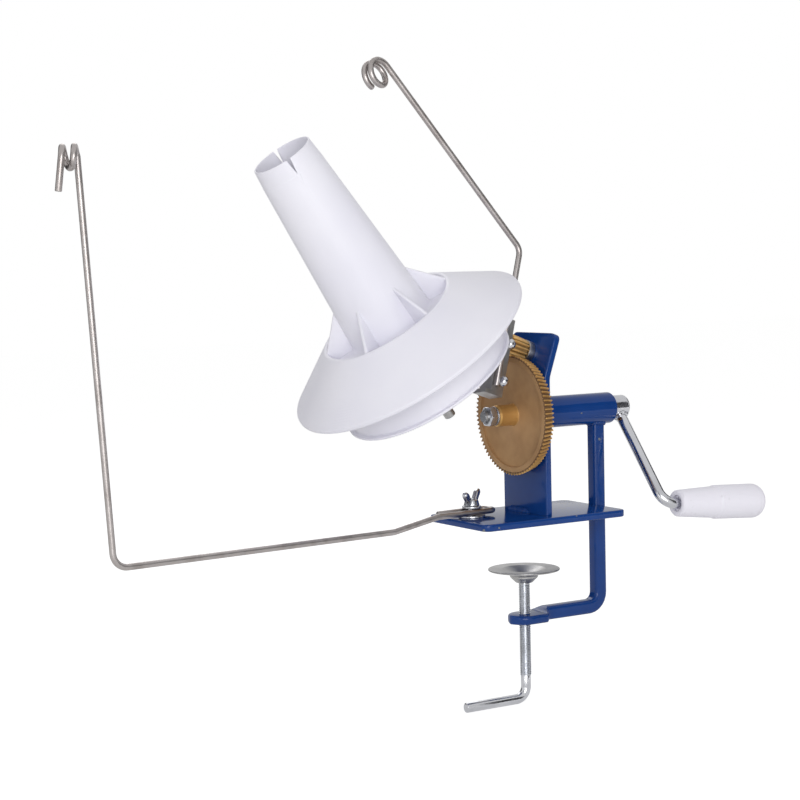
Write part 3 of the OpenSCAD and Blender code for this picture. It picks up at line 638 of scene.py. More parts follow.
def upright():
    """A strip carried up its bent middle line, narrowing in an arc at the top corners."""
    low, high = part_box("upright_plate")
    base_low, base_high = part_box("base_plate")
    thick = base_high.z - base_low.z
    tilt = math.asin(FLYER.turn[2][2])
    lean = np.array([math.sin(tilt), 0, math.cos(tilt)])
    node_high = span("upright_plate", FLYER)[1]
    foot = np.array([low.x + thick / 2, 0, low.z])
    top = FLYER.place(np.array([node_high[0], 0, node_high[2] - thick / 2]))
    rise = (top[0] - foot[0]) / lean[0]
    knee = top - rise * lean
    path = rounded([foot, knee, top], 14 * MM, 10, closed=False)
    corner_r, total, plain = 5 * MM, length(path), 39
    curve = np.linspace(0, math.pi / 2, 9)
    tops = total - corner_r * (1 - np.sin(curve))
    straight = np.linspace(0, total - corner_r, plain, endpoint=False)
    steps = np.concatenate([straight, tops])
    narrow = np.concatenate([np.zeros(plain), corner_r * (1 - np.cos(curve))])
    half = (high.y - low.y) / 2 - narrow * 0.96
    sections = np.array([rounded(SQUARE * [w, thick / 2], 1.2 * MM, 4) for w in half])
    sheet = swept(stations(path, steps), sections, ACROSS)
    piece("upright", "frame", "enamel", [(sheet, False)], ["upright_plate"])


def bearing_tube():
    """A pipe whose free end is well rounded."""
    low, high = span("bearing_tube", SHAFT)
    outline = ring_line(bore_of("bearing_tube", SHAFT), high[0], low[2], high[2])
    outline = rounded(outline, np.array([0.4, 2.6, 0.4, 0.4]) * MM, 7)
    piece("tube", "frame", "enamel", [(SHAFT.place(turned(outline)), True)], ["bearing_tube"])


def clamp_bar():
    """A rounded square bar carried down, round its elbow and along, its end pressed flat from above."""
    low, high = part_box("clamp_bar")
    side = 10 * MM
    leg_x, arm_z = high.x - side / 2, low.z + side / 2
    path = [[leg_x, 0, high.z], [leg_x, 0, arm_z], [low.x, 0, arm_z]]
    path = rounded(path, 10 * MM, 14, closed=False)
    total = length(path)
    paddle_w, paddle_t, paddle_l = 24 * MM, 6.4 * MM, 24 * MM
    curve = np.linspace(0, math.pi / 2, 12)
    end_r = paddle_w / 2
    tip = total - end_r * (1 - np.sin(curve))
    squeeze = np.linspace(0, 1, 9)
    shoulder = total - paddle_l - 6 * MM * (1 - squeeze)
    straight = np.linspace(0, shoulder[0], 69, endpoint=False)
    steps = np.concatenate([straight, shoulder, tip])
    smooth = squeeze * squeeze * (3 - 2 * squeeze)
    plain = np.full(len(straight), side / 2)
    wide = np.concatenate([
        plain, side / 2 + smooth * (paddle_w - side) / 2, end_r * np.maximum(np.cos(curve), 0.12)])
    high_half = np.concatenate([
        plain, side / 2 + smooth * (paddle_t - side) / 2, np.full(len(tip), paddle_t / 2)])
    sections = np.array([
        rounded(SQUARE * [w, h], min(2.6 * MM, 0.7 * min(w, h)), 5) + [0, side / 2 - h]
        for w, h in zip(wide, high_half)])
    bar = swept(stations(path, steps), sections, ACROSS)
    piece("clamp_arm", "frame", "enamel", [(bar, False)], ["clamp_bar"])


def weld(name, body, slot, path, radius, upper, ripple=2.2 * MM):
    """A weld run: a bead whose radius swells and sinks once per ripple."""
    run = np.linspace(0, length(path), max(24, int(length(path) / (0.3 * MM))))
    swell = 1 + 0.16 * np.cos(run / ripple * TURN) + 0.10 * np.sin(run / ripple * 2.3)
    fade = np.clip(np.minimum(run, run[-1] - run) / (2.0 * MM), 0.35, 1) ** 0.5
    thick = (radius * swell * fade)[:, None, None]
    bead = swept(stations(path, run), thick * circle(16), upper)
    piece(name, body, slot, [(bead, False)])


def welds():
    """Beads at the foot of the upright, round the tube and round the top of the clamp bar."""
    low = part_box("upright_plate")[0]
    foot = np.array([[-0.4, 18, 0.6], [-0.4, -5, 0.6]]) * MM + [low.x, 0, low.z]
    weld("foot_weld", "frame", "enamel", foot, 2.4 * MM, UP)
    behind = np.array([[1, 20, 0], [1, -20, 0]]) * MM + [low.x + 5 * MM, 0, low.z]
    weld("back_weld", "frame", "enamel", behind, 1.8 * MM, UP)
    tube_high = span("bearing_tube", SHAFT)[1]
    ring = round_z(tube_high[0] + 0.2 * MM, np.linspace(0, TURN, 97), tube_high[2])
    weld("tube_weld", "frame", "enamel", SHAFT.place(ring), 1.5 * MM, BACK)
    bar_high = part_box("clamp_bar")[1]
    top = SHAFT.origin[2] - tube_high[0]
    leg = 5.2 * MM
    square = rounded(SQUARE * leg, 3 * MM, 6)
    drop = tube_high[0] - np.sqrt(tube_high[0] ** 2 - square[:, 1] ** 2)
    saddle = np.column_stack([square[:, 0] + bar_high.x - 5 * MM, square[:, 1], top + drop])
    weld("bar_weld", "frame", "enamel", np.concatenate([saddle, saddle[:1]]), 1.3 * MM, UP)


# Crank and grip


def crank():
    """The bent rod, its hub and a rough weld between them."""
    rod, bend_r, pin_r = 8 * MM, 11 * MM, 3 * MM
    hub_low, hub_high = span("crank_hub", SHAFT)
    pin_high = span("crank_arm", GRIP)[1][2]
    start = SHAFT.place(np.array([0, 0, (hub_low[2] + hub_high[2]) / 2]))
    corner, along = GRIP.origin, GRIP.turn[2]
    down = unit(corner - start)
    end = corner + pin_high * along
    neck = bend_r * math.tan(math.acos(np.dot(down, along)) / 2)
    path = rounded([start + 6 * MM * down, corner, end], bend_r, 16, closed=False)
    path = np.concatenate([path[:-1], [corner + (neck + 3 * MM) * along]])
    pin = np.array([corner + neck * along, end])
    shells = [(tube(path, rod / 2, BACK, 32), False), (tube(pin, pin_r, UP), False)]
    piece("crank_rod", "crank", "chrome", shells, ["crank_arm"])
    outline = ring_line(0.2 * MM, hub_high[0], hub_low[2], hub_high[2])
    hub = rounded(outline, np.array([0.05, 2.4, 1.0, 0.05]) * MM, 6)
    piece("hub", "crank", "chrome", [(SHAFT.place(turned(hub)), True)], ["crank_hub"])
    weld_at, weld_r = 8.2 * MM, 3.9 * MM
    seat = Seat(start + down * weld_at, down, BACK)
    a = np.linspace(0, TURN, 65)
    ring = round_z(weld_r, a, 0.3 * MM * np.sin(3 * a))
    weld("hub_weld", "crank", "chrome", seat.place(ring), 1.5 * MM, down, 3.1 * MM)


def grip():
    """A turned grip: a tapered neck, a soft step, a fuller end and a domed cap."""
    low, high = span("hand_grip", GRIP)
    cap_high = span("grip_cap", GRIP)[1]
    bore, mouth, mouth_d, well = 3.06 * MM, 5.8 * MM, 3 * MM, 6.5 * MM
    total = cap_high[2] - low[2]
    step = low[2] + 0.43 * total
    r = high[0]
    neck, waist = 9.5 * MM, r - 1.0 * MM
    end, shoulder = high[2], span("grip_nut", GRIP)[0][2] - 0.4 * MM
    outline = [
        [mouth, low[2]], [neck, low[2]], [waist, step], [r - 0.3 * MM, step + 1.2 * MM], [r, end],
        [well, end], [well, shoulder], [bore, shoulder], [bore, low[2] + mouth_d],
        [mouth, low[2] + mouth_d]]
    ease = np.array([0.8, 2.4, 1.5, 1.5, 0.15, 0.15, 0.15, 0.15, 0.15, 0.3]) * MM
    body = turned(rounded(outline, ease, 6))
    piece("grip_body", "grip", "grip_plastic", [(GRIP.place(body), True)], ["hand_grip"])
    dome = np.linspace(0, math.pi / 2, 14)
    cap_r, plug_r, sunk = cap_high[2] - end, 6.4 * MM, 0.02 * MM
    cap = np.stack([r - cap_r + cap_r * np.cos(dome), end + cap_r * np.sin(dome)], 1)
    cap = np.concatenate([[[plug_r, end - sunk]], cap])
    piece("grip_end", "grip", "grip_plastic", [(GRIP.place(turned(cap)), False)], ["grip_cap"])


# Flyer and guide wires

WIRE_R = 2.1 * MM
NUT_TURN = 35
FLYER_REST = 8


def coil(start, u, v, w, radius, step, degrees, rings=90):
    """A wire eyelet: a helix that leaves start along u, curls towards v and steps along w."""
    a = np.linspace(0, math.radians(degrees), rings)[1:, None]
    return start + radius * ((1 - np.cos(a)) * v + np.sin(a) * u) + a / TURN * step * w


def eyelet_turn(degrees, curl):
    """Curl and step directions of an eyelet turned about its wire."""
    t = math.radians(degrees)
    return (
        math.cos(t) * curl - math.sin(t) * ACROSS,
        math.sin(t) * curl + math.cos(t) * ACROSS)


def flyer_wire():
    """A straight leg along the bar, one bend outwards and an eyelet."""
    seat = FLYER.turned_by(FLYER_REST)
    y = span("flyer_bar", seat)[0][1] - WIRE_R
    s = span("flyer_wire", seat)[0][2] + WIRE_R
    foot, knee_at, reach, bend_r = -34 * MM, 66 * MM, 161 * MM, 9 * MM
    eye_r, eye_step, eye_turn, eye_sweep = 8.6 * MM, 5.7 * MM, 20, 576
    bend_a = math.radians(57)
    u = np.array([math.cos(bend_a), 0, math.sin(bend_a)])
    v, w = eyelet_turn(eye_turn, np.array([-math.sin(bend_a), 0, math.cos(bend_a)]))
    knee = np.array([knee_at, y, s])
    tip = knee + reach * u
    path = rounded([[foot, y, s], knee, tip], bend_r, 16, closed=False)
    path = np.concatenate([path, coil(tip, u, v, w, eye_r, eye_step, eye_sweep)])
    wire = tube(path, WIRE_R, ACROSS)
    piece("flyer_arm", "flyer", "wire", [(seat.place(wire), False)], ["flyer_wire"])


def guide_wire():
    """A hairpin round the stud, a jog down to table height, a long run, a post and an eyelet."""
    heading = math.radians(5)
    seat = Seat(STUD.origin, UP, np.array([math.cos(heading), math.sin(heading), 0]))
    low, high = span("guide_wire", seat)
    leg, leg_end, jog_start, jog_end = 5.5 * MM, -26 * MM, -34 * MM, -72 * MM
    eye_r, eye_step, eye_turn, eye_sweep, tail = 6.2 * MM, 7.2 * MM, 70, 540, 20 * MM
    hairpin_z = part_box("guide_washer")[1].z + 0.4 * MM + WIRE_R
    run_z = low[2] + WIRE_R
    back = high[0] - WIRE_R
    lean = math.radians(3.5)
    u = np.array([-math.sin(lean), 0, math.cos(lean)])
    v, w = eyelet_turn(eye_turn, np.array([-math.cos(lean), 0, -math.sin(lean)]))
    reach, bend_r, post = 285 * MM, 10 * MM, 252 * MM
    turn = math.pi / 2 - lean
    bend_end = np.array([bend_r - reach, -leg, run_z]) + bend_r * np.array(
        [-math.sin(turn), 0, 1 - math.cos(turn)])
    tip = bend_end + (post - bend_r - run_z) * u
    corner = np.array([bend_end[0] + u[0] / u[2] * (run_z - bend_end[2]), -leg, run_z])
    corners = [
        [leg_end, leg, hairpin_z], [back, leg, hairpin_z], [back, -leg, hairpin_z],
        [jog_start, -leg, hairpin_z], [jog_end, -leg, run_z], corner, tip]
    hairpin_r, jog_r = leg - 0.01 * MM, 14 * MM
    radii = [0, hairpin_r, hairpin_r, jog_r, jog_r, bend_r, 0]
    path = rounded(corners, radii, 14, closed=False)
    eye = coil(tip, u, v, w, eye_r, eye_step, eye_sweep)
    path = np.concatenate([path, eye, [eye[-1] + tail * unit(eye[-1] - eye[-2])]])
    wire = tube(path, WIRE_R, UP)
    piece("guide_arm", "guide", "wire", [(seat.place(wire), False)], ["guide_wire"])


# Cone and drum

WALL = 2.5 * MM
WELL_R, WELL_H, WELL_FLOOR = 49 * MM, 28 * MM, 18 * MM
TUBE_TOP_R, TUBE_TOP, TUBE_FOOT_R = 21 * MM, 159.5 * MM, 30.5 * MM
TUBE_FOOT = WELL_FLOOR + WALL
TUBE_LEAN = (TUBE_FOOT_R - TUBE_TOP_R) / (TUBE_TOP - TUBE_FOOT)


def cone_line():
    """Profile of the shell: a tube with a step at its mouth, a well round its foot, a flange."""
    flange_r, rim_h, brim = 88 * MM, 3 * MM, 1.2 * MM
    step_d, step_in, step_rise = 11.6 * MM, 0.15 * MM, 0.4 * MM
    slope = WELL_H / (flange_r - WELL_R)
    drop = WALL * math.hypot(1, slope)
    rim_r, well_in = flange_r - WALL, WELL_R - WALL
    step_h, step_r = TUBE_TOP - step_d, TUBE_TOP_R + step_d * TUBE_LEAN
    outline = [
        [TUBE_TOP_R - step_in, TUBE_TOP], [step_r - step_in, step_h], [step_r, step_h - step_rise],
        [TUBE_FOOT_R, TUBE_FOOT], [well_in, TUBE_FOOT], [well_in, WELL_H], [WELL_R, WELL_H],
        [flange_r, 0], [flange_r, -rim_h], [rim_r, -rim_h], [rim_r, slope * WALL - drop],
        [WELL_R, WELL_H - drop], [WELL_R, WELL_FLOOR], [TUBE_FOOT_R - WALL, WELL_FLOOR],
        [step_r - WALL, step_h - 3 * MM], [TUBE_TOP_R - brim, TUBE_TOP]]
    ease = np.array([
        0.5, 0.3, 0.3, 2.5, 2.0, 0.9, 1.2, 1.0, 1.2, 0.8, 0.5, 0.5, 0.5, 0.5, 4.0, 0.5]) * MM
    return rounded(outline, ease, 6)


def away(angles, middles):
    """Angle from the nearest of the middles."""
    return np.min(np.abs((angles[:, None] - middles + math.pi) % TURN - math.pi), 1)


def cone_wall():
    """The cone's shell: its profile carried round, with two slits and two mould lines.

    The top edge dips into a slit by a soft V: depth x k ln(1 + exp((1 - off) / k)), off counted
    in half widths. A mould line stands out of the tube as a narrow bell of radius over angle.
    """
    slit_d, slit_soft, slit_fade = 11 * MM, 0.06, 30 * MM
    seam_w, seam_h = 0.3 * MM, 0.32 * MM
    slit_half = 1.5 * MM / TUBE_TOP_R
    line = cone_line()
    centres = np.radians([70.0, 250.0])
    seams = np.radians([334.0, 154.0])
    near = np.linspace(-1.6, 1.6, 33) * slit_half
    ridge = np.linspace(-2.5, 2.5, 11) * seam_w / TUBE_TOP_R
    even = turns(180)
    clear = (away(even, centres) > 1.7 * slit_half) & (away(even, seams) > 1.2 * ridge[-1])
    extra = [c + near for c in centres] + [c + ridge for c in seams]
    angles = np.sort(np.concatenate([even[clear], *extra]) % TURN)
    off = away(angles, centres) / slit_half
    depth = slit_d * slit_soft * np.log1p(np.exp((1 - off) / slit_soft))
    r, h = line[:, :1] + 0 * angles, line[:, 1:] + 0 * angles
    sink = np.clip((h - (TUBE_TOP - slit_fade)) / slit_fade, 0, 1) * depth
    bell = seam_h * np.exp(-(away(angles, seams) * TUBE_TOP_R / seam_w) ** 2)
    outer = r > TUBE_TOP_R + (TUBE_TOP - h) * TUBE_LEAN - 1 * MM
    on_tube = outer & (h > TUBE_FOOT + 4 * MM) & (h < TUBE_TOP - 0.6 * MM)
    return round_z(r + sink * TUBE_LEAN + bell * on_tube, angles, h - sink)


def cone_ribs():
    """Six ribs that stand in the well and lean on the tube."""
    count, thick, rise, first, gap = 6, 2.2 * MM, 24 * MM, math.radians(34), 0.4 * MM
    low, far, sunk = WELL_FLOOR + WALL / 2, WELL_R - WALL / 2, 0.8 * WALL
    tip_h = WELL_H + rise
    tip_r = TUBE_FOOT_R - TUBE_LEAN * (tip_h - TUBE_FOOT) - sunk
    corners = np.array([[TUBE_FOOT_R - sunk, low], [far, low], [far, WELL_H - gap], [tip_r, tip_h]])
    edge = rounded(corners, 0.4 * MM, 3)
    rims = ((0.5, -1), (0.12, -0.85), (0, -0.5), (0, 0.5), (0.12, 0.85), (0.5, 1))
    return [fin(edge, corners.mean(0), first + turn, thick / 2, rims) for turn in turns(count)]


def winding_cone():
    """One moulding of shell and ribs."""
    shells = [(CONE.place(cone_wall()), True)]
    shells += [(CONE.place(rib), False) for rib in cone_ribs()]
    piece("cone_shell", "cone", "cone_plastic", shells, ["winding_cone"])


def drum():
    """The drive drum below the flange, with a rounded lip, a web and a boss."""
    drum_r, lip_r, lip_t = 60 * MM, 63.5 * MM, 2 * MM
    depth, web, top, inner = 29 * MM, 15 * MM, 17 * MM, drum_r - WALL
    boss_r, bore, boss_top = 9 * MM, 4.06 * MM, span("drum", CONE)[1][2]
    plug_r, plug_h = 28.4 * MM, 3.4 * MM
    boss_low = 6 * MM - depth
    outline = [
        [inner, -depth], [lip_r, -depth], [lip_r, lip_t - depth], [drum_r, lip_t - depth],
        [drum_r, top], [plug_r, top + 1 * MM], [plug_r, top + plug_h], [boss_r, top + plug_h],
        [boss_r, boss_top], [bore, boss_top], [bore, boss_low], [boss_r, boss_low], [boss_r, web],
        [inner, web]]
    ease = np.array([0.8, 0.9, 0.9, 1.2, 0.3, 0.2, 0.4, 0.4, 0.4, 0.2, 0.2, 0.6, 1.0, 1.0]) * MM
    line = rounded(outline, ease, 5)
    piece("drive_drum", "cone", "cone_plastic", [(CONE.place(turned(line, 160)), True)], ["drum"])


# Bevel gears


def involute(a):
    return np.tan(a) - a


def tooth_line(pitch_r, teeth, play, first):
    """Radius and angle round a toothed rim.

    Each flank's half angle is that at the pitch circle less the involute of its pressure angle.
    """
    module = 2 * pitch_r / teeth
    r = pitch_r + module * np.array([-1.25, -0.85, -0.45, 0.2, 0.9])
    pressure = np.arccos(np.minimum(pitch_r * math.cos(math.radians(20)) / r, 1))
    half = math.pi / 2 / teeth - play / 2 / pitch_r + involute(math.radians(20)) - involute(pressure)
    one = np.concatenate([-half, half[::-1]])
    a = first + np.arange(teeth)[:, None] / teeth * TURN + one
    return np.tile(np.concatenate([r, r[::-1]]), teeth), a.ravel()


def toothed(line, rows, front, apex):
    """A bevel gear: each row is a circle, or the tooth line shrunk towards the apex behind it.

    A row gives its radius, its height and its share of the tooth line, 0 or 1.
    """
    outer, a = line
    rows = np.array(rows)
    r, h, share = rows[:, :1], rows[:, 1:2], rows[:, 2:]
    return round_z(r + share * outer * (1 - (front - h) / apex), a, h)


def gears():
    """The dished drive gear with its long boss, and the pinion that it turns."""
    low, high = span("drive_gear", SHAFT)
    back, boss, front = low[2], high[2], GEAR_FRONT
    bore, bite = 4 * MM, 0.25 * MM
    web = front - 2.2 * MM
    root, root_back = 40.1 * MM, 37.6 * MM
    b, r = BOSS_R, RIM_R
    rows = [
        (bore + 0.5 * MM, boss, 0), (b - 1.1 * MM, boss, 0), (b, boss - 1.1 * MM, 0),
        (b, web + 1.6 * MM, 0), (b + 0.45 * MM, web + 0.5 * MM, 0), (b + 1.6 * MM, web, 0),
        (r - 1.4 * MM, web, 0), (r - 0.4 * MM, web + 0.4 * MM, 0), (r, web + 1.3 * MM, 0),
        (r, front - 0.3 * MM, 0), (r + 0.3 * MM, front, 0), (root, front, 0), (-bite, front, 1),
        (0, front - bite, 1), (0, back + bite, 1), (-bite, back, 1), (root_back, back, 0),
        (bore + 0.4 * MM, back, 0), (bore, back + 0.4 * MM, 0), (bore, boss - 0.5 * MM, 0)]
    line = tooth_line(GEAR_PITCH_R, GEAR_TEETH, TOOTH_PLAY, 0)
    gear = SHAFT.place(toothed(line, rows, front, GEAR_APEX))
    piece("gear_form", "crank", "gear_brass", [(gear, True)], ["drive_gear"], 30)
    low, high = span("pinion", FLYER)
    back, front, bore = low[2], high[2], 4.5 * MM
    root, root_back = 5.3 * MM, 4.9 * MM
    rows = [
        (bore + 0.2 * MM, front, 0), (root, front, 0), (-bite, front, 1), (0, front - 0.4 * MM, 1),
        (0, back + 0.4 * MM, 1), (-bite, back, 1), (root_back, back, 0), (bore + 0.2 * MM, back, 0),
        (bore, back + 0.3 * MM, 0), (bore, front - 0.3 * MM, 0)]
    line = tooth_line(PINION_PITCH_R, PINION_TEETH, TOOTH_PLAY, math.pi / PINION_TEETH)
    pinion = FLYER.place(toothed(line, rows, front, PINION_APEX))
    piece("pinion_form", "flyer", "pinion_brass", [(pinion, True)], ["pinion"], 30)


# Screws, nuts and washers


def clamp_screw():
    """A threaded rod with a plain tail, one bend and a bar handle."""
    low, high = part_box("clamp_screw")
    r, pitch, thread_l = 4 * MM, 1.25 * MM, 66.5 * MM
    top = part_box("clamp_pad")[0].z - 0.4 * MM
    handle_z = low.z + r
    thread_end = top - thread_l
    thread = threaded(1.05 * r, 0.6 * MM, pitch, thread_end, top, 48, 12)
    tail = [[0, 0, thread_end + 1 * MM], [0, 0, handle_z], [low.x, 0, handle_z]]
    tail = rounded(tail, 9 * MM, 16, closed=False)
    tip = np.array([[0, 0, top - 2 * MM], [0, 0, high.z]])
    piece("screw_thread", "screw", "zinc", [(thread, False)])
    shells = [
        (tube(tail, 0.89 * r, ACROSS, 32, 0.9 * MM), False), (tube(tip, 3 * MM, BACK), False)]
    piece("screw_rod", "screw", "chrome", shells, ["clamp_screw"])


def clamp_pad():
    """A pressure pad with a steep bowl inside a broad rim, on a short hub, turned from one line."""
    low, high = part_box("clamp_pad")
    r, top, sheet, dish = high.x, high.z, 1.6 * MM, 5 * MM
    hub, bowl, lip, bore, eye = 6 * MM, 15.5 * MM, 0.2 * MM, 3.06 * MM, 0.3 * MM
    under, floor, skirt = top - dish, top - dish + 0.8 * MM, hub + 4 * MM
    outline = [
        [eye, floor], [hub + 0.6 * MM, floor], [bowl, top - lip], [r, top], [r, top - 0.7 * sheet],
        [bowl, top - lip - sheet], [skirt, under], [skirt, under - 1 * MM], [hub, low.z],
        [bore, low.z], [bore, under], [eye, under]]
    ease = np.array([0.1, 2, 0.7, 0.5, 0.4, 1.5, 1.0, 0.5, 0.8, 0.2, 0.1, 0.1]) * MM
    pad = turned(rounded(outline, ease, 5))
    piece("pressure_pad", "pad", "steel", [(pad, True)], ["clamp_pad"])


def fasteners():
    """Nuts, washers and the threads that stand out of them."""
    nuts = (
        ("gear_nut", SHAFT, "crank", 13 * MM), ("lower_nut", CONE, "frame", 13 * MM),
        ("top_nut", CONE, "frame", 13 * MM), ("axle_nut", FLYER, "frame", 10 * MM))
    for node, seat, body, flats in nuts:
        low, high = span(node, seat)
        nut = hexagon(flats, bore_of(node, seat), low[2], high[2])
        piece(node + "_form", body, "zinc", [(seat.place(nut), True)], [node], 25)
    full, small = 1.0, 6.8 * MM
    washers = (
        ("thrust_washer", SHAFT, "frame", "steel", full), ("axle_washer", FLYER, "frame", "zinc", full),
        ("axle_collar", FLYER, "frame", "steel", full), ("bar_spacer", FLYER, "flyer", "steel", full),
        ("guide_washer", STUD, "swivel", "zinc", full), ("gear_washer", SHAFT, "crank", "zinc", small),
        ("top_washer", STUD, "swivel", "zinc", small))
    for node, seat, body, slot, widest in washers:
        piece(node + "_form", body, slot, [(washer(node, seat, widest), True)], [node])
    ends = (
        ("nose_thread", "crank_shaft", SHAFT, "crank", 4.0, 1.25, 9.5, True),
        ("axle_thread", "flyer_axle", FLYER, "frame", 3.0, 1.0, 8.0, False),
        ("cone_thread", "cone_axle", CONE, "frame", 4.0, 1.25, 17.0, False))
    past = 0.5 * MM
    for name, node, seat, body, r, pitch, run, at_top in ends:
        low, high = span(node, seat)
        reach = (high[2] - run * MM, high[2] + past)
        if not at_top:
            reach = (low[2] - past, low[2] + run * MM)
        thread = threaded((r + 0.03) * MM, 0.5 * MM, pitch * MM, *reach)
        piece(name, body, "zinc", [(seat.place(thread), False)])


def wing_nut():
    """A stud, and on it a low tapered hub with two blades that lean outwards, round at their edges."""
    foot = span("wing_nut", STUD)[0][2]
    root, bore, hub_h = span("guide_stud", STUD)[0][2], 3.06 * MM, 4.4 * MM
    shank = turned(np.array([[2.9 * MM, root], [2.9 * MM, foot + 1 * MM]]), 40)
    thread = threaded(3.03 * MM, 0.5 * MM, 1 * MM, foot, foot + hub_h + 0.8 * MM)
    stud = [(STUD.place(shank), False), (STUD.place(thread), False)]
    piece("stud_thread", "frame", "zinc", stud, ["guide_stud"])
    outline = [[bore, foot], [5.8 * MM, foot], [4.6 * MM, foot + hub_h], [bore, foot + hub_h]]
    shells = [(STUD.place(turned(rounded(outline, 0.7 * MM, 4), 48)), True)]
    blade = [0, foot] + MM * np.array([
        [3.4, 0.8], [5.8, 0.8], [10.6, 4.6], [14.2, 8.8], [12.4, 11.2], [8.4, 9.6], [3.8, 4.2]])
    edge, half = rounded(blade, 1.6 * MM, 6), 1.8 * MM
    rims = ((0.9, -1), (0.3, -0.8), (0, -0.35), (0, 0.35), (0.3, 0.8), (0.9, 1))
    for side in (0, 180):
        wing = fin(edge, edge.mean(0), math.radians(NUT_TURN + side), half, rims)
        shells.append((STUD.place(wing), False))
    piece("wing_nut_form", "nut", "zinc", shells, ["wing_nut"])


def screw_heads():
    """The two screws that press the flyer wire to its bar: a shank under a domed head."""
    seat, shank_r = FLYER.turned_by(FLYER_REST), 2 * MM
    for node in ("upper_screw", "lower_screw"):
        low, high = span(node, seat)
        centre = (low + high) / 2
        head_r = (high[0] - low[0]) / 2
        head = seat.place(np.array([centre[0], low[1], centre[2]]))
        axis = Seat(head, seat.turn[1], seat.turn[0])
        total = high[1] - low[1]
        dome = np.linspace(0.12, 1, 10) * math.pi / 2
        line = np.stack([head_r * np.sin(dome), head_r * (1 - np.cos(dome))], 1)
        line = np.concatenate([line, [[shank_r, head_r], [shank_r, total]]])
        piece(node + "_form", "flyer", "chrome", [(axis.place(turned(line, 48)), False)], [node])


base_plate()
upright()
bearing_tube()
clamp_bar()
welds()
crank()
grip()
flyer_wire()
guide_wire()
winding_cone()
drum()
gears()
clamp_screw()
clamp_pad()
fasteners()
wing_nut()
screw_heads()


# Studio

VIEW_AZIMUTH, VIEW_ELEVATION, VIEW_ROLL = -31.8, 4.3, -1.3
VIEW_DISTANCE, AIM_RIGHT, AIM_UP = 1.336, -0.0854, 0.0867
FOCAL_PIXELS, PICTURE_PIXELS, SENSOR = 1881.7, 800, 36.0
# Room under the clamp screw, so that it clears the floor when it is wound right down
SCREW_DROP = 23 * MM


def camera():
    """Stands at the photograph's angle, aimed a little left of and above the clamp screw."""
    a, e, roll = (math.radians(v) for v in (VIEW_AZIMUTH, VIEW_ELEVATION, VIEW_ROLL))
    back = np.array([math.sin(a) * math.cos(e), -math.cos(a) * math.cos(e), math.sin(e)])
    right = np.array([math.cos(a), math.sin(a), 0])
    upper = np.cross(back, right)
    place = AIM_RIGHT * right + AIM_UP * upper + VIEW_DISTANCE * back
    side = math.cos(roll) * right + math.sin(roll) * upper
    top = -math.sin(roll) * right + math.cos(roll) * upper
    data = bpy.data.cameras.new("studio_camera")
    data.sensor_width = SENSOR
    data.lens = FOCAL_PIXELS / PICTURE_PIXELS * SENSOR
    made = put("studio_camera", data)
    turn = Matrix(np.column_stack([side, top, back]).tolist()).to_4x4()
    made.matrix_world = Matrix.Translation(place.tolist()) @ turn
    bpy.context.scene.camera = made


def lamp(name, place, aim, size, power):
    data = bpy.data.lights.new(name, "AREA")
    data.shape = "DISK"
    data.size = size
    data.energy = power
    made = put(name, data)
    seat = Seat(place, np.array(place) - np.array(aim), ACROSS)
    made.matrix_world = Matrix.Translation(place) @ Matrix(seat.turn.T.tolist()).to_4x4()


def plain_tree(block):
    block.use_nodes = True
    block.node_tree.nodes.clear()
    return Signal(block.node_tree)


def flat_face(name, corners, paint):
    """One flat face of the set."""
    mesh = bpy.data.meshes.new(name)
    mesh.from_pydata([tuple(c) for c in corners], [], [(0, 1, 2, 3)])
    mesh.materials.append(paint)
    return put(name, mesh)


def card(name, turn, half, paint):
    """A tall dark card round the set, seen only in mirror surfaces, where it draws dark streaks."""
    a = math.radians(turn)
    middle = 1.5 * np.array([math.sin(a), -math.cos(a), 0])
    right = np.array([math.cos(a), math.sin(a), 0])
    corners = [
        middle + side * half * right + rise * UP
        for side, rise in ((-1, -0.1), (1, -0.1), (1, 1.2), (-1, 1.2))]
    made = flat_face(name, corners, paint)
    made.visible_camera = False
    made.visible_diffuse = False
    made.visible_shadow = False


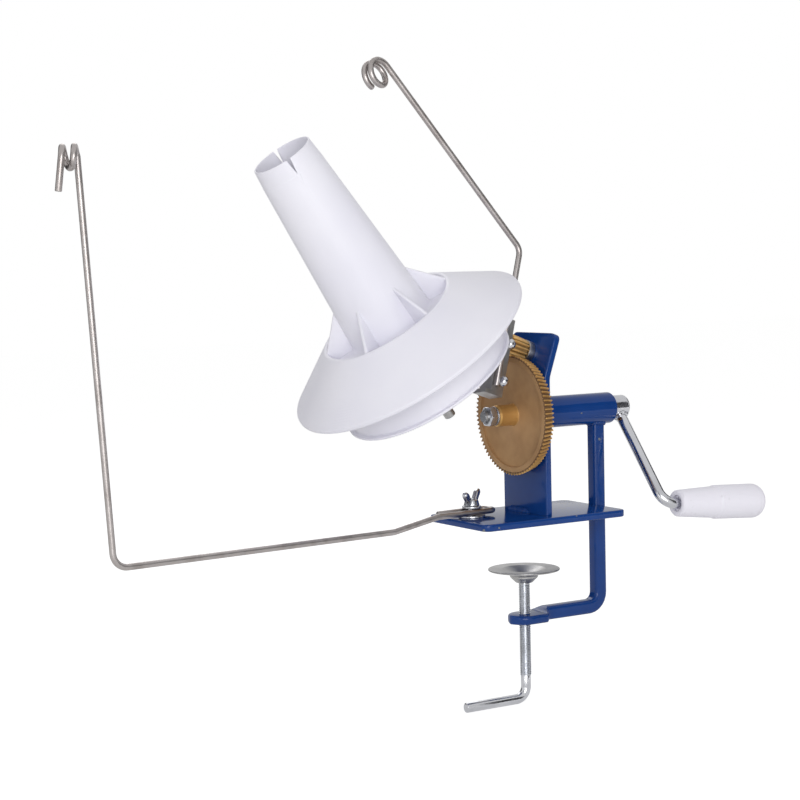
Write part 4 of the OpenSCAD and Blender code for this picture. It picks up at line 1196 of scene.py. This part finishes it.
def ray_strength(blank, plain, mirror, direct):
    """Strength for rays that carry light, for mirror rays, and for camera and glass rays."""
    seen, shine, through = (
        blank.node("ShaderNodeLightPath", out=name)
        for name in ("Is Camera Ray", "Is Glossy Ray", "Is Transmission Ray"))
    return plain + (mirror - plain) * shine + (direct - plain) * blank.math("MAXIMUM", seen, through)


def studio():
    """White surround, a pale floor that keeps a soft shadow, dark cards for the metal, four lamps."""
    scene = bpy.context.scene
    scene.view_settings.view_transform = "Standard"
    scene.world = bpy.data.worlds.new("white_surround")
    blank = plain_tree(scene.world)
    strength = ray_strength(blank, 0.62, 0.72, 1.0)
    light = blank.node("ShaderNodeBackground", {}, {"Color": (1, 1, 1, 1), "Strength": strength})
    blank.node("ShaderNodeOutputWorld", {}, {"Surface": light})
    paint = bpy.data.materials.new("pale_floor")
    blank = plain_tree(paint)
    matt = blank.node("ShaderNodeBsdfDiffuse", {}, {"Color": (0.8, 0.8, 0.8, 1)})
    glow = blank.node(
        "ShaderNodeEmission", {},
        {"Color": (1, 1, 1, 1), "Strength": ray_strength(blank, 0.0, 0.1, 0.5)})
    both = blank.node("ShaderNodeAddShader", {}, {0: matt, 1: glow})
    blank.node("ShaderNodeOutputMaterial", {}, {"Surface": both})
    floor_z, reach = cad_box[0].z - SCREW_DROP, 6.0
    floor = flat_face("floor", [(x * reach, y * reach, floor_z) for x, y in SQUARE], paint)
    dark = bpy.data.materials.new("dark_card")
    blank = plain_tree(dark)
    matt = blank.node("ShaderNodeBsdfDiffuse", {}, {"Color": (0.03, 0.03, 0.035, 1)})
    blank.node("ShaderNodeOutputMaterial", {}, {"Surface": matt})
    cards = (
        ("camera_card", -56, 0.16), ("right_card", 38, 0.55), ("rear_right_card", 92, 0.45),
        ("rear_left_card", 208, 0.55))
    for name, turn, half in cards:
        card(name, turn, half, dark)
    aim = (-0.10, 0.0, 0.12)
    lamp("key_lamp", (-0.95, -1.65, 0.25), aim, 1.2, 13)
    lamp("fill_lamp", (1.2, -1.3, 0.15), aim, 1.2, 4)
    lamp("left_lamp", (-1.5, -0.9, 0.0), aim, 1.0, 3)
    lamp("rim_lamp", (0.4, 1.5, 1.3), aim, 1.0, 4)


camera()
studio()
